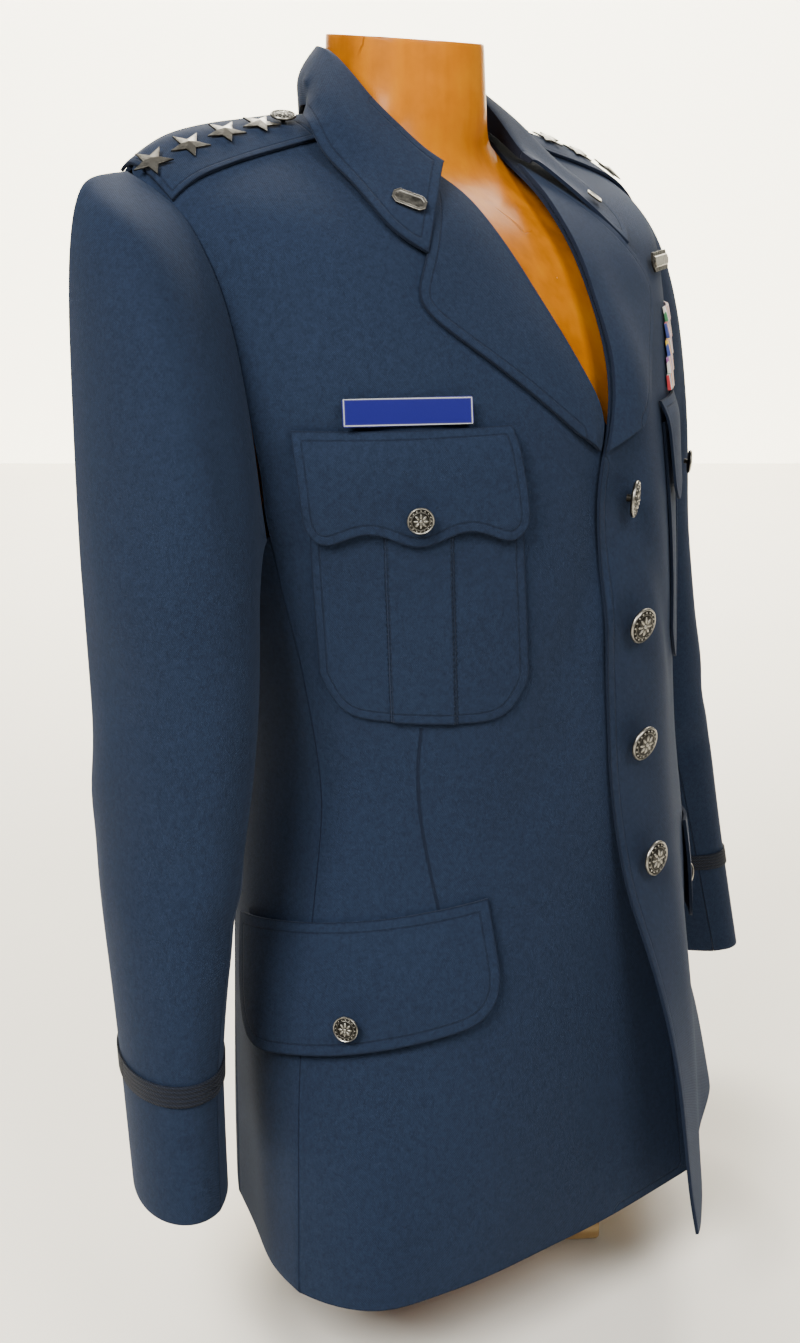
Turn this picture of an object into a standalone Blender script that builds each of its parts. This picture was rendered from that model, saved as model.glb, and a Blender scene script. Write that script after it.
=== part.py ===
"""Officer's service tunic of dark blue serge, worn by a limbless torso form on a low wooden base.

Metres, +Z up. The wearer faces -Y, so the wearer's left is +X. The origin is on the surface that the
base stands on, under the middle of the neck. Heights in the tables are measured up from the tunic's hem.
"""
import math
from functools import lru_cache

import bmesh
import bpy
import numpy as np
from mathutils import Matrix, Vector

# Driving sizes
HEM_HEIGHT = 0.065
CLOTH = 0.0022
THIN_CLOTH = 0.0018
SEAM_GAP = 0.0003
SEAT_GAP = 0.0004
LAP = 0.0038
UNDERLAP = 0.006
BASE_SIDE, BASE_HEIGHT, BASE_TURN = 0.224, 0.045, math.radians(-40)
FRONT_BUTTON, POCKET_BUTTON = 0.0229, 0.0159
TOP_BUTTON_HEIGHT, BUTTON_SPACING, BUTTON_COUNT = 0.467, 0.075, 4
# The top button hangs turned to the wearer's left.
TOP_BUTTON_TURN = math.radians(24)
# The top button draws the cloth in: how far, and over what height and width.
BUTTON_PULL = (0.007, 0.032, 0.026)
STAR_RADIUS, STAR_PITCH, STAR_COUNT = 0.0127, 0.0245, 4
PLATE_LENGTH, PLATE_HEIGHT, PLATE_DEPTH = 0.0762, 0.0159, 0.0016
RIGHT, LEFT = -1, 1
SIDE_NAMES = {RIGHT: "right", LEFT: "left"}

# The tunic's horizontal outline at each height: half widths, where the side, front and back lie, and
# how full each quarter is (2 is an ellipse, more is squarer).
OUTLINE_COLUMNS = ("height", "width_right", "width_left", "side_y", "front_y", "back_y",
                   "full_right", "full_left", "full_back")
OUTLINE = (
    (0.000, 0.235, 0.171, -0.100, -0.200, 0.098, 3.0, 1.85, 1.55),
    (0.060, 0.222, 0.172, -0.081, -0.198, 0.102, 2.75, 1.75, 1.6),
    (0.120, 0.208, 0.164, -0.062, -0.195, 0.105, 2.5, 1.65, 1.65),
    (0.180, 0.192, 0.167, -0.048, -0.190, 0.105, 2.3, 1.75, 1.8),
    (0.250, 0.172, 0.160, -0.034, -0.184, 0.102, 2.1, 1.85, 2.0),
    (0.300, 0.164, 0.156, -0.024, -0.178, 0.100, 2.1, 1.85, 2.0),
    (0.360, 0.170, 0.163, -0.014, -0.174, 0.104, 2.1, 1.8, 2.1),
    (0.420, 0.182, 0.174, -0.004, -0.169, 0.110, 2.1, 1.75, 2.2),
    (0.480, 0.194, 0.187, 0.004, -0.160, 0.114, 2.2, 1.7, 2.3),
    (0.540, 0.203, 0.200, 0.010, -0.140, 0.114, 2.2, 1.8, 2.3),
    (0.590, 0.209, 0.208, 0.014, -0.109, 0.107, 2.2, 2.0, 2.3),
    (0.620, 0.2120, 0.2110, 0.018, -0.088, 0.099, 2.3, 2.2, 2.3),
    (0.640, 0.2140, 0.2135, 0.029, -0.073, 0.094, 2.0, 2.0, 2.3),
    (0.652, 0.2140, 0.2140, 0.037, -0.062, 0.090, 1.70, 1.70, 2.3),
    (0.661, 0.2085, 0.2085, 0.041, -0.048, 0.087, 1.55, 1.55, 2.2),
    (0.670, 0.1920, 0.1920, 0.042, -0.034, 0.084, 1.48, 1.48, 2.1),
    (0.677, 0.1760, 0.1760, 0.042, -0.024, 0.081, 1.46, 1.46, 2.0),
    (0.683, 0.1510, 0.1510, 0.042, -0.0170, 0.078, 1.46, 1.46, 2.0),
    (0.688, 0.1150, 0.1150, 0.041, -0.0135, 0.076, 1.50, 1.50, 2.0),
    (0.692, 0.0860, 0.0860, 0.037, -0.0110, 0.073, 1.6, 1.6, 2.0),
    (0.696, 0.0700, 0.0700, 0.033, -0.0095, 0.070, 1.8, 1.8, 2.0),
)
# Soft flutes that the skirt hangs in: side, distance round from the centre front, how far it stands out
# at the hem (negative is a hollow), its width, and the height where it fades out.
FLUTE_COLUMNS = ("side", "round", "out", "width", "top")
FLUTES = (
    (RIGHT, 0.215, 0.007, 0.050, 0.20),
    (RIGHT, 0.330, -0.009, 0.060, 0.26),
    (RIGHT, 0.420, 0.008, 0.060, 0.30),
    (LEFT, 0.190, 0.006, 0.060, 0.22),
    (LEFT, 0.310, -0.008, 0.060, 0.26),
    (LEFT, 0.390, 0.008, 0.060, 0.30),
)
# How far the unbuttoned lower front stands forward at its edge.
SWING_COLUMNS = ("height", "swing_right", "swing_left")
SWING = (
    (0.000, 0.016, 0.0650), (0.031, 0.012, 0.0570), (0.059, 0.009, 0.0530), (0.099, 0.005, 0.0490),
    (0.120, 0.003, 0.0450), (0.145, 0.002, 0.0397), (0.172, 0.001, 0.0330), (0.195, 0.000, 0.0226),
    (0.222, 0.000, 0.0100), (0.243, 0.000, 0.0057), (0.270, 0.000, 0.0000), (0.300, 0.000, 0.0000),
)
# The left shoulder sits a little further back, most of all beside the neck.
SHEAR_START, SHEAR_HEIGHT, SHEAR_MIDDLE, SHEAR_NECK = 0.60, 0.07, 0.010, 0.026
# Inner edge of a front, from the centre line towards its own side: straight below the top button, and
# the roll line of the lapel and neck above it.
EDGE_COLUMNS = ("height", "out")
EDGE = (
    (0.000, -0.022), (0.455, -0.022), (0.470, -0.020), (0.485, -0.015), (0.505, -0.004), (0.526, 0.006),
    (0.549, 0.015), (0.573, 0.021), (0.602, 0.028), (0.636, 0.037), (0.652, 0.046), (0.661, 0.056),
    (0.670, 0.064), (0.676, 0.068), (0.681, 0.070), (0.687, 0.070), (0.696, 0.067),
)
# Armhole seen from the side.
ARMHOLE_COLUMNS = ("height", "front_y", "back_y")
ARMHOLE = (
    (0.452, -0.0430, 0.0550), (0.476, -0.0465, 0.0600), (0.516, -0.0450, 0.0610), (0.549, -0.0400, 0.0590),
    (0.575, -0.0350, 0.0615), (0.606, -0.0250, 0.0605), (0.629, -0.0110, 0.0590), (0.645, 0.0120, 0.0560),
    (0.656, 0.0370, 0.0500),
)
ARMPIT_DROP = 0.020
# Where the front meets the side panel and the side panel meets the back, as angles round the outline.
SEAM_COLUMNS = ("height", "front_seam", "back_seam")
SEAMS = (
    (0.0, 84.0, 122.0), (0.15, 80.0, 119.0), (0.30, 76.0, 116.0), (0.40, 75.0, 118.0), (0.452, 75.0, 118.0),
)
LOWER_ROWS = (0.0, 0.035, 0.07, 0.11, 0.15, 0.19, 0.22, 0.25, 0.29, 0.335, 0.375, 0.415, 0.452)
ARM_ROWS = (0.478, 0.505, 0.535, 0.565, 0.592, 0.615, 0.633, 0.646, 0.656)
SHOULDER_ROWS = (0.664, 0.6705, 0.676, 0.6805, 0.685, 0.689, 0.693)
FRONT_COLUMNS, SIDE_COLUMNS, BACK_COLUMNS = 13, 4, 8

# Sleeve outline below the armhole: its centre, half thickness on the outer and inner side, half width
# fore and aft, and how far the front edge turns outwards.
SLEEVE_COLUMNS = ("height", "out", "centre_y", "outer", "inner", "fore", "turn")
SLEEVES = {
    RIGHT: ((0.050, 0.2690, -0.054, 0.0295, 0.0295, 0.051, 30.0),
            (0.160, 0.2590, -0.036, 0.0330, 0.0320, 0.054, 26.0),
            (0.260, 0.2430, -0.023, 0.0450, 0.0410, 0.058, 15.0),
            (0.350, 0.2320, -0.018, 0.0460, 0.0430, 0.062, 6.0),
            (0.400, 0.2290, -0.012, 0.0485, 0.0450, 0.064, 4.0)),
    LEFT: ((0.040, 0.2720, -0.026, 0.0300, 0.0300, 0.050, 24.0),
           (0.160, 0.2600, -0.005, 0.0340, 0.0340, 0.053, 18.0),
           (0.260, 0.2430, 0.007, 0.0440, 0.0410, 0.058, 12.0),
           (0.350, 0.2320, 0.017, 0.0450, 0.0410, 0.061, 6.0),
           (0.400, 0.2265, 0.023, 0.0445, 0.0410, 0.063, 4.0)),
}
SLEEVE_HEM = {RIGHT: 0.0625, LEFT: 0.0420}
CAP_SQUARE = {RIGHT: 6.0, LEFT: 1.9}
SLEEVE_LAP = 0.0016
SLEEVE_SEAT = {RIGHT: 0.0016, LEFT: 0.0027}
CAP_STEPS = (0.0, 0.13, 0.27, 0.43, 0.61, 0.80, 1.0)
TUBE_ROWS = (0.355, 0.300, 0.245, 0.195)
BRAID_RISE, BRAID_WIDTH, BRAID_DEPTH = 0.078, 0.0125, 0.0011
# Angle round the sleeve of the elbow seam and of the inner seam: 0 is outwards, 90 is forwards.
ELBOW_SEAM, INNER_SEAM = -30.0, 140.0

# Collar, from the gorge round to the centre back: its roll, its free edge, and the neck seam under it.
COLLAR_COLUMNS = ("roll_x", "roll_y", "roll_h", "edge_x", "edge_y", "edge_h", "seam_x", "seam_y", "seam_h")
COLLAR = (
    (0.0510, -0.060, 0.6640, 0.0940, -0.0920, 0.6150, 0.0545, -0.055, 0.6630),
    (0.0575, -0.049, 0.6720, 0.1110, -0.0740, 0.6270, 0.0590, -0.046, 0.6690),
    (0.0630, -0.034, 0.6850, 0.1150, -0.0480, 0.6560, 0.0640, -0.033, 0.6770),
    (0.0680, -0.012, 0.7030, 0.1160, -0.0220, 0.6800, 0.0670, -0.013, 0.6880),
    (0.0665, 0.010, 0.7200, 0.1060, 0.0060, 0.6950, 0.0660, 0.009, 0.6965),
    (0.0610, 0.034, 0.7320, 0.0880, 0.0370, 0.6990, 0.0615, 0.033, 0.6990),
    (0.0460, 0.0560, 0.7340, 0.0650, 0.0705, 0.6975, 0.0465, 0.0555, 0.6985),
    (0.0250, 0.0755, 0.7345, 0.0340, 0.0890, 0.6940, 0.0255, 0.0745, 0.6985),
    (0.0000, 0.0845, 0.7350, 0.0000, 0.0990, 0.6940, 0.0000, 0.0825, 0.6985),
)
COLLAR_EDGE_SEAT, COLLAR_LEAST = 0.0036, 0.0033
COLLAR_OVER_STRAP, COLLAR_DROP, COLLAR_CLEAR = 0.0036, 0.005, 0.7035
PIN_STATION, PIN_SHARE = 0.75, 0.66
PIN_SEAT = {RIGHT: 0.0020, LEFT: 0.0026}
COLLAR_STEPS = 2

# Lapel in front view: the gorge end, the tip, and the free edge down to the top button.
LAPEL_GORGE = (0.051, 0.6605)
LAPEL_EDGE = ((0.109, 0.590), (0.106, 0.577), (0.087, 0.559), (0.060, 0.535), (0.030, 0.508))
LAPEL_FOOT = 0.496
LAPEL_ROWS, LAPEL_COLUMNS = 12, 7
LAPEL_TUCK = 0.004

# Torso form.
FORM_COLUMNS = ("height", "width", "side_y", "front_y", "back_y", "full")
FORM = (
    (-0.0197, 0.118, -0.010, -0.110, 0.050, 2.2),
    (0.060, 0.126, -0.010, -0.125, 0.058, 2.2),
    (0.130, 0.132, -0.010, -0.136, 0.066, 2.2),
    (0.200, 0.134, -0.008, -0.140, 0.072, 2.2),
    (0.280, 0.134, -0.006, -0.140, 0.076, 2.1),
    (0.360, 0.143, -0.002, -0.148, 0.084, 2.1),
    (0.440, 0.160, 0.003, -0.149, 0.095, 2.1),
    (0.500, 0.174, 0.007, -0.140, 0.101, 2.1),
    (0.550, 0.184, 0.011, -0.120, 0.101, 2.1),
    (0.600, 0.190, 0.014, -0.090, 0.094, 2.2),
    (0.630, 0.188, 0.022, -0.066, 0.087, 2.15),
    (0.648, 0.180, 0.033, -0.047, 0.079, 1.8),
    (0.658, 0.160, 0.036, -0.0400, 0.077, 1.70),
    (0.665, 0.130, 0.037, -0.0360, 0.074, 1.60),
    (0.670, 0.105, 0.036, -0.0335, 0.072, 1.60),
    (0.674, 0.088, 0.034, -0.0320, 0.071, 1.65),
    (0.680, 0.074, 0.031, -0.0305, 0.071, 1.75),
    (0.690, 0.0605, 0.028, -0.0290, 0.0715, 1.90),
    (0.705, 0.0532, 0.027, -0.0275, 0.0750, 2.0),
    (0.740, 0.0515, 0.027, -0.026, 0.0765, 2.0),
)
FORM_TILT = 0.09
FORM_SEGMENTS = 28
FORM_ROWS = (-0.0197, 0.06, 0.14, 0.22, 0.29, 0.36, 0.42, 0.47, 0.515, 0.555, 0.590, 0.618, 0.640,
             0.654, 0.663, 0.669, 0.674, 0.680, 0.688, 0.698, 0.712, 0.740)

# Pockets, as distance round from the centre front and height.
CHEST_POCKET = {"near": 0.079, "far": 0.206, "top": 0.503, "bottom": 0.343, "corner": 0.026}
CHEST_FLAP = {"near": 0.077, "far": 0.208, "top": 0.517, "depth": 0.062}
PLEAT_WIDTH, PLEAT_HEIGHT = 0.038, 0.0014
LEFT_FLAP_ROUND = -0.022
LOWER_FLAP = {
    "near": 0.113, "far": 0.302, "top_near": 0.234, "top_far": 0.200, "depth": 0.070, "corner": 0.024,
}

# Shoulder strap: from the armhole seam to under the collar.
STRAP_SEAT = 0.0006
STRAP = {"outer": 0.2038, "inner": 0.100, "outer_width": 0.050, "inner_width": 0.040}
STRAP_LINE = {RIGHT: (0.0275, 0.0165), LEFT: (0.023, 0.052)}
STRAP_BUTTON_X, FIRST_STAR_X = 0.1110, 0.2010
# The outermost star bridges the bend at the strap's sewn end.
STAR_RISE = 0.0003
OUTER_STAR_RISE = {RIGHT: 0.0003, LEFT: 0.0006}

COLOURS = {
    "blue_serge": ((0.034, 0.052, 0.102, 1.0), 0.85, 0.0),
    "braid": ((0.012, 0.018, 0.042, 1.0), 0.75, 0.0),
    "silver": ((0.62, 0.60, 0.54, 1.0), 0.32, 1.0),
    "plate_blue": ((0.030, 0.035, 0.36, 1.0), 0.35, 0.0),
    "ribbon": ((0.45, 0.08, 0.12, 1.0), 0.70, 0.0),
    "amber_shellac": ((0.50, 0.19, 0.02, 1.0), 0.22, 0.0),
    "pine": ((0.66, 0.46, 0.22, 1.0), 0.60, 0.0),
}


def clear_scene():
    for thing in list(bpy.data.objects):
        bpy.data.objects.remove(thing, do_unlink=True)


@lru_cache(maxsize=None)
def material(name):
    colour, roughness, metallic = COLOURS[name]
    made = bpy.data.materials.new(name)
    made.use_nodes = True
    shader = made.node_tree.nodes["Principled BSDF"]
    shader.inputs["Base Color"].default_value = colour
    shader.inputs["Roughness"].default_value = roughness
    shader.inputs["Metallic"].default_value = metallic
    made.diffuse_color = colour
    return made


def smooth_slopes(x, y):
    """Slopes of a curve through the points that never overshoots them."""
    step = np.diff(x)
    rise = np.diff(y) / step
    slope = np.zeros_like(y)
    slope[0], slope[-1] = rise[0], rise[-1]
    for i in range(1, len(x) - 1):
        if rise[i - 1] * rise[i] > 0:
            near, far = 2 * step[i] + step[i - 1], step[i] + 2 * step[i - 1]
            slope[i] = (near + far) / (near / rise[i - 1] + far / rise[i])
    return slope


class Table:
    """Smooth curves through the columns of a table, read at a height."""

    def __init__(self, names, rows):
        data = np.array(rows, dtype=float)
        self.x = data[:, 0]
        self.curves = {}
        for name, column in zip(names[1:], data[:, 1:].T):
            self.curves[name] = (column, smooth_slopes(self.x, column))

    def at(self, name, height):
        column, slope = self.curves[name]
        h = min(max(height, self.x[0]), self.x[-1])
        i = min(int(np.searchsorted(self.x, h, side="right")) - 1, len(self.x) - 2)
        step = self.x[i + 1] - self.x[i]
        t = (h - self.x[i]) / step
        start = (1 + 2 * t) * (1 - t) ** 2 * column[i] + t * (1 - t) ** 2 * step * slope[i]
        end = t * t * (3 - 2 * t) * column[i + 1] + t * t * (t - 1) * step * slope[i + 1]
        return start + end


outline = Table(OUTLINE_COLUMNS, OUTLINE)
edge = Table(EDGE_COLUMNS, EDGE)
armhole = Table(ARMHOLE_COLUMNS, ARMHOLE)
seams = Table(SEAM_COLUMNS, SEAMS)
swing = Table(SWING_COLUMNS, SWING)
sleeve_tables = {side: Table(SLEEVE_COLUMNS, rows) for side, rows in SLEEVES.items()}
form_table = Table(FORM_COLUMNS, FORM)


def ease(t):
    t = min(max(t, 0.0), 1.0)
    return t * t * (3 - 2 * t)


def shear(x, height):
    """How far back the cloth sits at a distance to the wearer's left."""
    if x < 0:
        back = SHEAR_MIDDLE * ease(1 + x / 0.07)
    elif x < 0.09:
        back = SHEAR_MIDDLE + (SHEAR_NECK - SHEAR_MIDDLE) * ease(x / 0.09)
    else:
        back = SHEAR_NECK * (1 - 0.8 * ease((x - 0.09) / 0.12))
    return back * ease((height - SHEAR_START) / SHEAR_HEIGHT)


@lru_cache(maxsize=None)
def outline_at(side, height):
    width = "width_right" if side == RIGHT else "width_left"
    full = "full_right" if side == RIGHT else "full_left"
    names = (width, "side_y", "front_y", "back_y", full, "full_back")
    return tuple(float(outline.at(name, height)) for name in names)


def plain_point(side, angle, height):
    """A point of the tunic's outer face: angle 0 is the centre front, 90 the side, 180 the centre back."""
    width, side_y, front_y, back_y, full_front, full_back = outline_at(side, height)
    s, c = math.sin(angle), math.cos(angle)
    full = full_front if c > 0 else full_back
    end_y = front_y if c > 0 else back_y
    out = width * math.copysign(abs(s) ** (2 / full), s)
    y = side_y + (end_y - side_y) * abs(c) ** (2 / full)
    if c > 0:
        if side == LEFT and out < 0.07:
            right_width, right_side, right_front, _, right_full, _ = outline_at(RIGHT, height)
            arc = (1 - (abs(out) / right_width) ** right_full) ** (1 / right_full)
            over_right = right_side + (right_front - right_side) * arc
            y = over_right + (y - over_right) * ease((out - 0.030) / 0.040)
        from_button, from_line = height - TOP_BUTTON_HEIGHT, side * out - 0.006
        pulled = BUTTON_PULL[0] * (1.0 if side == LEFT else 1.2)
        y += pulled * math.exp(-(from_button / BUTTON_PULL[1]) ** 2 - (from_line / BUTTON_PULL[2]) ** 2)
        if side == LEFT:
            y -= LAP * (1 - ease((out - 0.024) / 0.036))
        if out < 0.10:
            y -= float(swing.at("swing_" + SIDE_NAMES[side], height)) * ((0.10 - out) / 0.122) ** 1.5
    y += shear(side * out, height)
    return np.array((side * out, y, height))


@lru_cache(maxsize=None)
def round_table(side, height):
    """Distances round the outline from the centre front, and their angles."""
    angles = np.linspace(0, math.pi, 121)
    points = np.array([plain_point(side, a, height) for a in angles])
    lengths = np.concatenate(([0.0], np.cumsum(np.linalg.norm(np.diff(points, axis=0), axis=1))))
    return lengths, angles


def angle_at(side, distance, height):
    lengths, angles = round_table(side, round(height, 5))
    return float(np.interp(distance, lengths, angles))


def distance_at(side, angle, height):
    lengths, angles = round_table(side, round(height, 5))
    return float(np.interp(angle, angles, lengths))


def flute(side, angle, height):
    out = 0.0
    for row in FLUTES:
        fold = dict(zip(FLUTE_COLUMNS, row))
        if fold["side"] != side or height >= fold["top"]:
            continue
        across = (distance_at(side, angle, height) - fold["round"]) / fold["width"]
        out += fold["out"] * (1 - height / fold["top"]) ** 1.3 * math.exp(-(2.2 * across) ** 2)
    return out


def frame_at(side, angle, height):
    """Outer face point and its outward normal."""
    step_a, step_h = 0.004, 0.0012
    low, high = max(height - step_h, 0.0), min(height + step_h, OUTLINE[-1][0])
    around = plain_point(side, angle + step_a, height) - plain_point(side, angle - step_a, height)
    up = plain_point(side, angle, high) - plain_point(side, angle, low)
    normal = np.cross(around, up) * side
    normal /= np.linalg.norm(normal)
    point = plain_point(side, angle, height)
    if angle > 0.3:
        point = point + normal * flute(side, angle, height)
    return point, normal


def out_to_angle(side, out, height):
    """Angle whose point lies at this distance out from the centre line, on the front."""
    width, _, _, _, full, _ = outline_at(side, height)
    share = min(abs(out) / width, 1.0)
    return math.copysign(math.asin(share ** (full / 2)), out)


def y_to_angle(side, y, height):
    width, side_y, front_y, back_y, full_front, full_back = outline_at(side, height)
    y -= shear(side * width, height)
    if y < side_y:
        share = (side_y - y) / (side_y - front_y)
        return math.acos(min(share, 1.0) ** (full_front / 2))
    share = (y - side_y) / (back_y - side_y)
    return math.pi - math.acos(min(share, 1.0) ** (full_back / 2))


def armhole_angle(side, edge_name, height):
    return y_to_angle(side, armhole.at(edge_name, height) + shear(side * 0.205, height), height)


def roof(side, out, y):
    """Height of the shoulder over a point in plan."""
    low, high = 0.630, OUTLINE[-1][0]
    for _ in range(26):
        middle = (low + high) / 2
        width, side_y, front_y, back_y, full_front, full_back = outline_at(side, middle)
        across = y - shear(side * out, middle)
        full = full_front if across < side_y else full_back
        reach = (side_y - front_y) if across < side_y else (back_y - side_y)
        if (out / width) ** full + (abs(across - side_y) / reach) ** full > 1:
            high = middle
        else:
            low = middle
    return low


def roof_frame(side, out, y):
    """Place on the shoulder over a point in plan, and the way out."""
    step = 0.004
    along = np.array((side * 2 * step, 0, roof(side, out + step, y) - roof(side, out - step, y)))
    across = np.array((0, 2 * step, roof(side, out, y + step) - roof(side, out, y - step)))
    normal = np.cross(along, across) * side
    return np.array((side * out, y, roof(side, out, y))), normal / np.linalg.norm(normal)


def stand_off(point):
    """Rough distance of a point outside the body's outline, and the way straight out."""
    def level_of(p):
        side = RIGHT if p[0] < 0 else LEFT
        width, side_y, front_y, back_y, full_front, full_back = outline_at(side, float(p[2]))
        across = p[1] - shear(p[0], p[2])
        full = full_front if across < side_y else full_back
        reach = (side_y - front_y) if across < side_y else (back_y - side_y)
        return ((abs(p[0]) / width) ** full + (abs(across - side_y) / reach) ** full) ** (1 / full)

    step = 0.0008
    slope = np.zeros(3)
    for axis in range(3):
        move = np.zeros(3)
        move[axis] = step
        slope[axis] = (level_of(point + move) - level_of(point - move)) / (2 * step)
    size = np.linalg.norm(slope)
    return (level_of(point) - 1) / size, slope / size


def push_out(point, least):
    """Move a point out until it stands clear of the body."""
    point = np.array(point, dtype=float)
    for _ in range(3):
        distance, way = stand_off(point)
        if distance < least:
            point = point + way * (least - distance)
    return point


def lift(point):
    return (float(point[0]), float(point[1]), float(point[2]) + HEM_HEIGHT)


def finish(name, mesh_points, faces, finish_name, smooth=True):
    mesh = bpy.data.meshes.new(name)
    mesh.from_pydata(mesh_points, [], faces)
    tool = bmesh.new()
    tool.from_mesh(mesh)
    bmesh.ops.recalc_face_normals(tool, faces=tool.faces)
    tool.to_mesh(mesh)
    tool.free()
    mesh.materials.append(material(finish_name))
    made = bpy.data.objects.new(name, mesh)
    bpy.context.scene.collection.objects.link(made)
    if smooth:
        mesh.shade_smooth()
        mesh.set_sharp_from_angle(angle=math.radians(40))
    return made


def wall(name, outer, inner, finish_name, closed=False):
    """A closed cloth wall from two matching grids of points; closed joins each row into a ring."""
    rows, columns = len(outer), len(outer[0])
    points = [lift(p) for row in outer for p in row] + [lift(p) for row in inner for p in row]
    shift = rows * columns
    faces = []
    last = columns if closed else columns - 1
    for r in range(rows - 1):
        for c in range(last):
            a, b = r * columns + c, r * columns + (c + 1) % columns
            d, e = a + columns, b + columns
            faces.append((a, b, e, d))
            faces.append((a + shift, d + shift, e + shift, b + shift))
    for c in range(last):
        for r in (0, rows - 1):
            a, b = r * columns + c, r * columns + (c + 1) % columns
            faces.append((a, b, b + shift, a + shift))
    if not closed:
        for r in range(rows - 1):
            for c in (0, columns - 1):
                a = r * columns + c
                faces.append((a, a + columns, a + columns + shift, a + shift))
    return finish(name, points, faces, finish_name)


def grid_normals(grid, closed=False):
    """Normals of a grid of points from its neighbours."""
    points = np.array(grid)
    down = np.gradient(points, axis=0)
    if closed:
        across = np.roll(points, -1, axis=1) - np.roll(points, 1, axis=1)
    else:
        across = np.gradient(points, axis=1)
    normals = np.cross(across, down)
    return normals / np.linalg.norm(normals, axis=2, keepdims=True)


def shrink(angle_from, angle_to, side, height):
    """Pull both ends of a span in by half a seam gap."""
    first = distance_at(side, angle_from, height) + SEAM_GAP / 2
    last = distance_at(side, angle_to, height) - SEAM_GAP / 2
    return angle_at(side, first, height), angle_at(side, last, height)


def panel(name, side, spans, columns):
    """A body panel from rows of (height for a share across, first angle, last angle)."""
    outer, inner = [], []
    for height_of, first, last in spans:
        row_out, row_in = [], []
        for c in range(columns):
            share = c / (columns - 1)
            angle = first + (last - first) * share
            point, normal = frame_at(side, angle, height_of(share))
            row_out.append(point)
            row_in.append(point - normal * CLOTH)
        outer.append(row_out)
        inner.append(row_in)
    return wall(name, outer, inner, "blue_serge")


def level(height):
    return lambda share: height


def cut_corner(share):
    """The hem rises a little at the front edge."""
    return 0.010 * max(0.0, 1 - share * 20)


def front_panel(side):
    spans = []
    for h in LOWER_ROWS + ARM_ROWS + SHOULDER_ROWS:
        under = 0.0
        if side == RIGHT:
            under = UNDERLAP * (ease((0.44 - h) / 0.03) + ease((0.20 - h) / 0.10))
        first = out_to_angle(side, edge.at("out", h) - under, h)
        if h <= LOWER_ROWS[-1]:
            last = math.radians(seams.at("front_seam", h))
        elif h <= ARM_ROWS[-1]:
            last = armhole_angle(side, "front_y", h)
        else:
            last = math.pi / 2
        _, last = shrink(first, last, side, h)
        spans.append((cut_corner if h == 0 else level(h), first, last))
    return panel("front_" + SIDE_NAMES[side], side, spans, FRONT_COLUMNS)


def side_panel(side):
    top = LOWER_ROWS[-1]
    spans = []
    for h in LOWER_ROWS:
        first, last = math.radians(seams.at("front_seam", h)), math.radians(seams.at("back_seam", h))
        first, last = shrink(first, last, side, h)

        def height_of(share, h=h):
            return h - ARMPIT_DROP * (h / top) ** 6 * (1 - (2 * share - 1) ** 2)

        spans.append((height_of, first, last))
    return panel("side_" + SIDE_NAMES[side], side, spans, SIDE_COLUMNS)


def back_panel(side):
    spans = []
    for h in LOWER_ROWS + ARM_ROWS + SHOULDER_ROWS:
        if h <= LOWER_ROWS[-1]:
            first = math.radians(seams.at("back_seam", h))
        elif h <= ARM_ROWS[-1]:
            first = armhole_angle(side, "back_y", h)
        else:
            first = math.pi / 2
        first, _ = shrink(first, math.pi, side, h)
        last = angle_at(side, distance_at(side, math.pi, h) - SEAM_GAP, h)
        spans.append((level(h), first, last))
    return panel("back_" + SIDE_NAMES[side], side, spans, BACK_COLUMNS)


def armhole_loop(side):
    """Points and normals round the armhole, from the shoulder down the front, under and up the back."""
    loop = []
    top = ARM_ROWS[-1]
    for h in reversed(ARM_ROWS):
        loop.append((armhole_angle(side, "front_y", h), h))
    seam_height = LOWER_ROWS[-1]
    first = math.radians(seams.at("front_seam", seam_height))
    last = math.radians(seams.at("back_seam", seam_height))
    for share in (0.0, 0.25, 0.5, 0.75, 1.0):
        loop.append((first + (last - first) * share, seam_height - ARMPIT_DROP * (1 - (2 * share - 1) ** 2)))
    for h in ARM_ROWS[:-1]:
        loop.append((armhole_angle(side, "back_y", h), h))
    centre_y = 0.008
    centre_h = (top + seam_height - ARMPIT_DROP) / 2
    frames = []
    for angle, height in loop:
        y = plain_point(side, angle, height)[1]
        spread = np.array((y - centre_y, height - centre_h))
        y, height = np.array((y, height)) + spread / np.linalg.norm(spread) * SLEEVE_LAP
        frames.append(frame_at(side, y_to_angle(side, y, height), height))
    turns = [math.atan2(-(p[1] - centre_y) / 0.052, (p[2] - centre_h) / 0.112) for p, _ in frames]
    return frames, turns


def tube_point(side, turn, height, offset=0.0):
    """A point of a sleeve's outer face: turn 0 is outwards and a quarter turn is forwards."""
    read = {name: float(sleeve_tables[side].at(name, height)) for name in SLEEVE_COLUMNS[1:]}
    across = read["outer"] if math.cos(turn) > 0 else read["inner"]
    out = (across + offset) * math.cos(turn)
    ahead = (read["fore"] + offset) * math.sin(turn)
    twist = math.radians(read["turn"])
    x = read["out"] + out * math.cos(twist) + ahead * math.sin(twist)
    y = read["centre_y"] + out * math.sin(twist) - ahead * math.cos(twist)
    return np.array((side * x, y, height))


def tube_rows(side):
    """Heights of the sleeve's rings below the cap; two of them bound the braid."""
    hem = SLEEVE_HEM[side]
    braid = hem + BRAID_RISE
    return TUBE_ROWS + (braid + BRAID_WIDTH / 2, braid - BRAID_WIDTH / 2, (hem + braid) / 2, hem)


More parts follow.
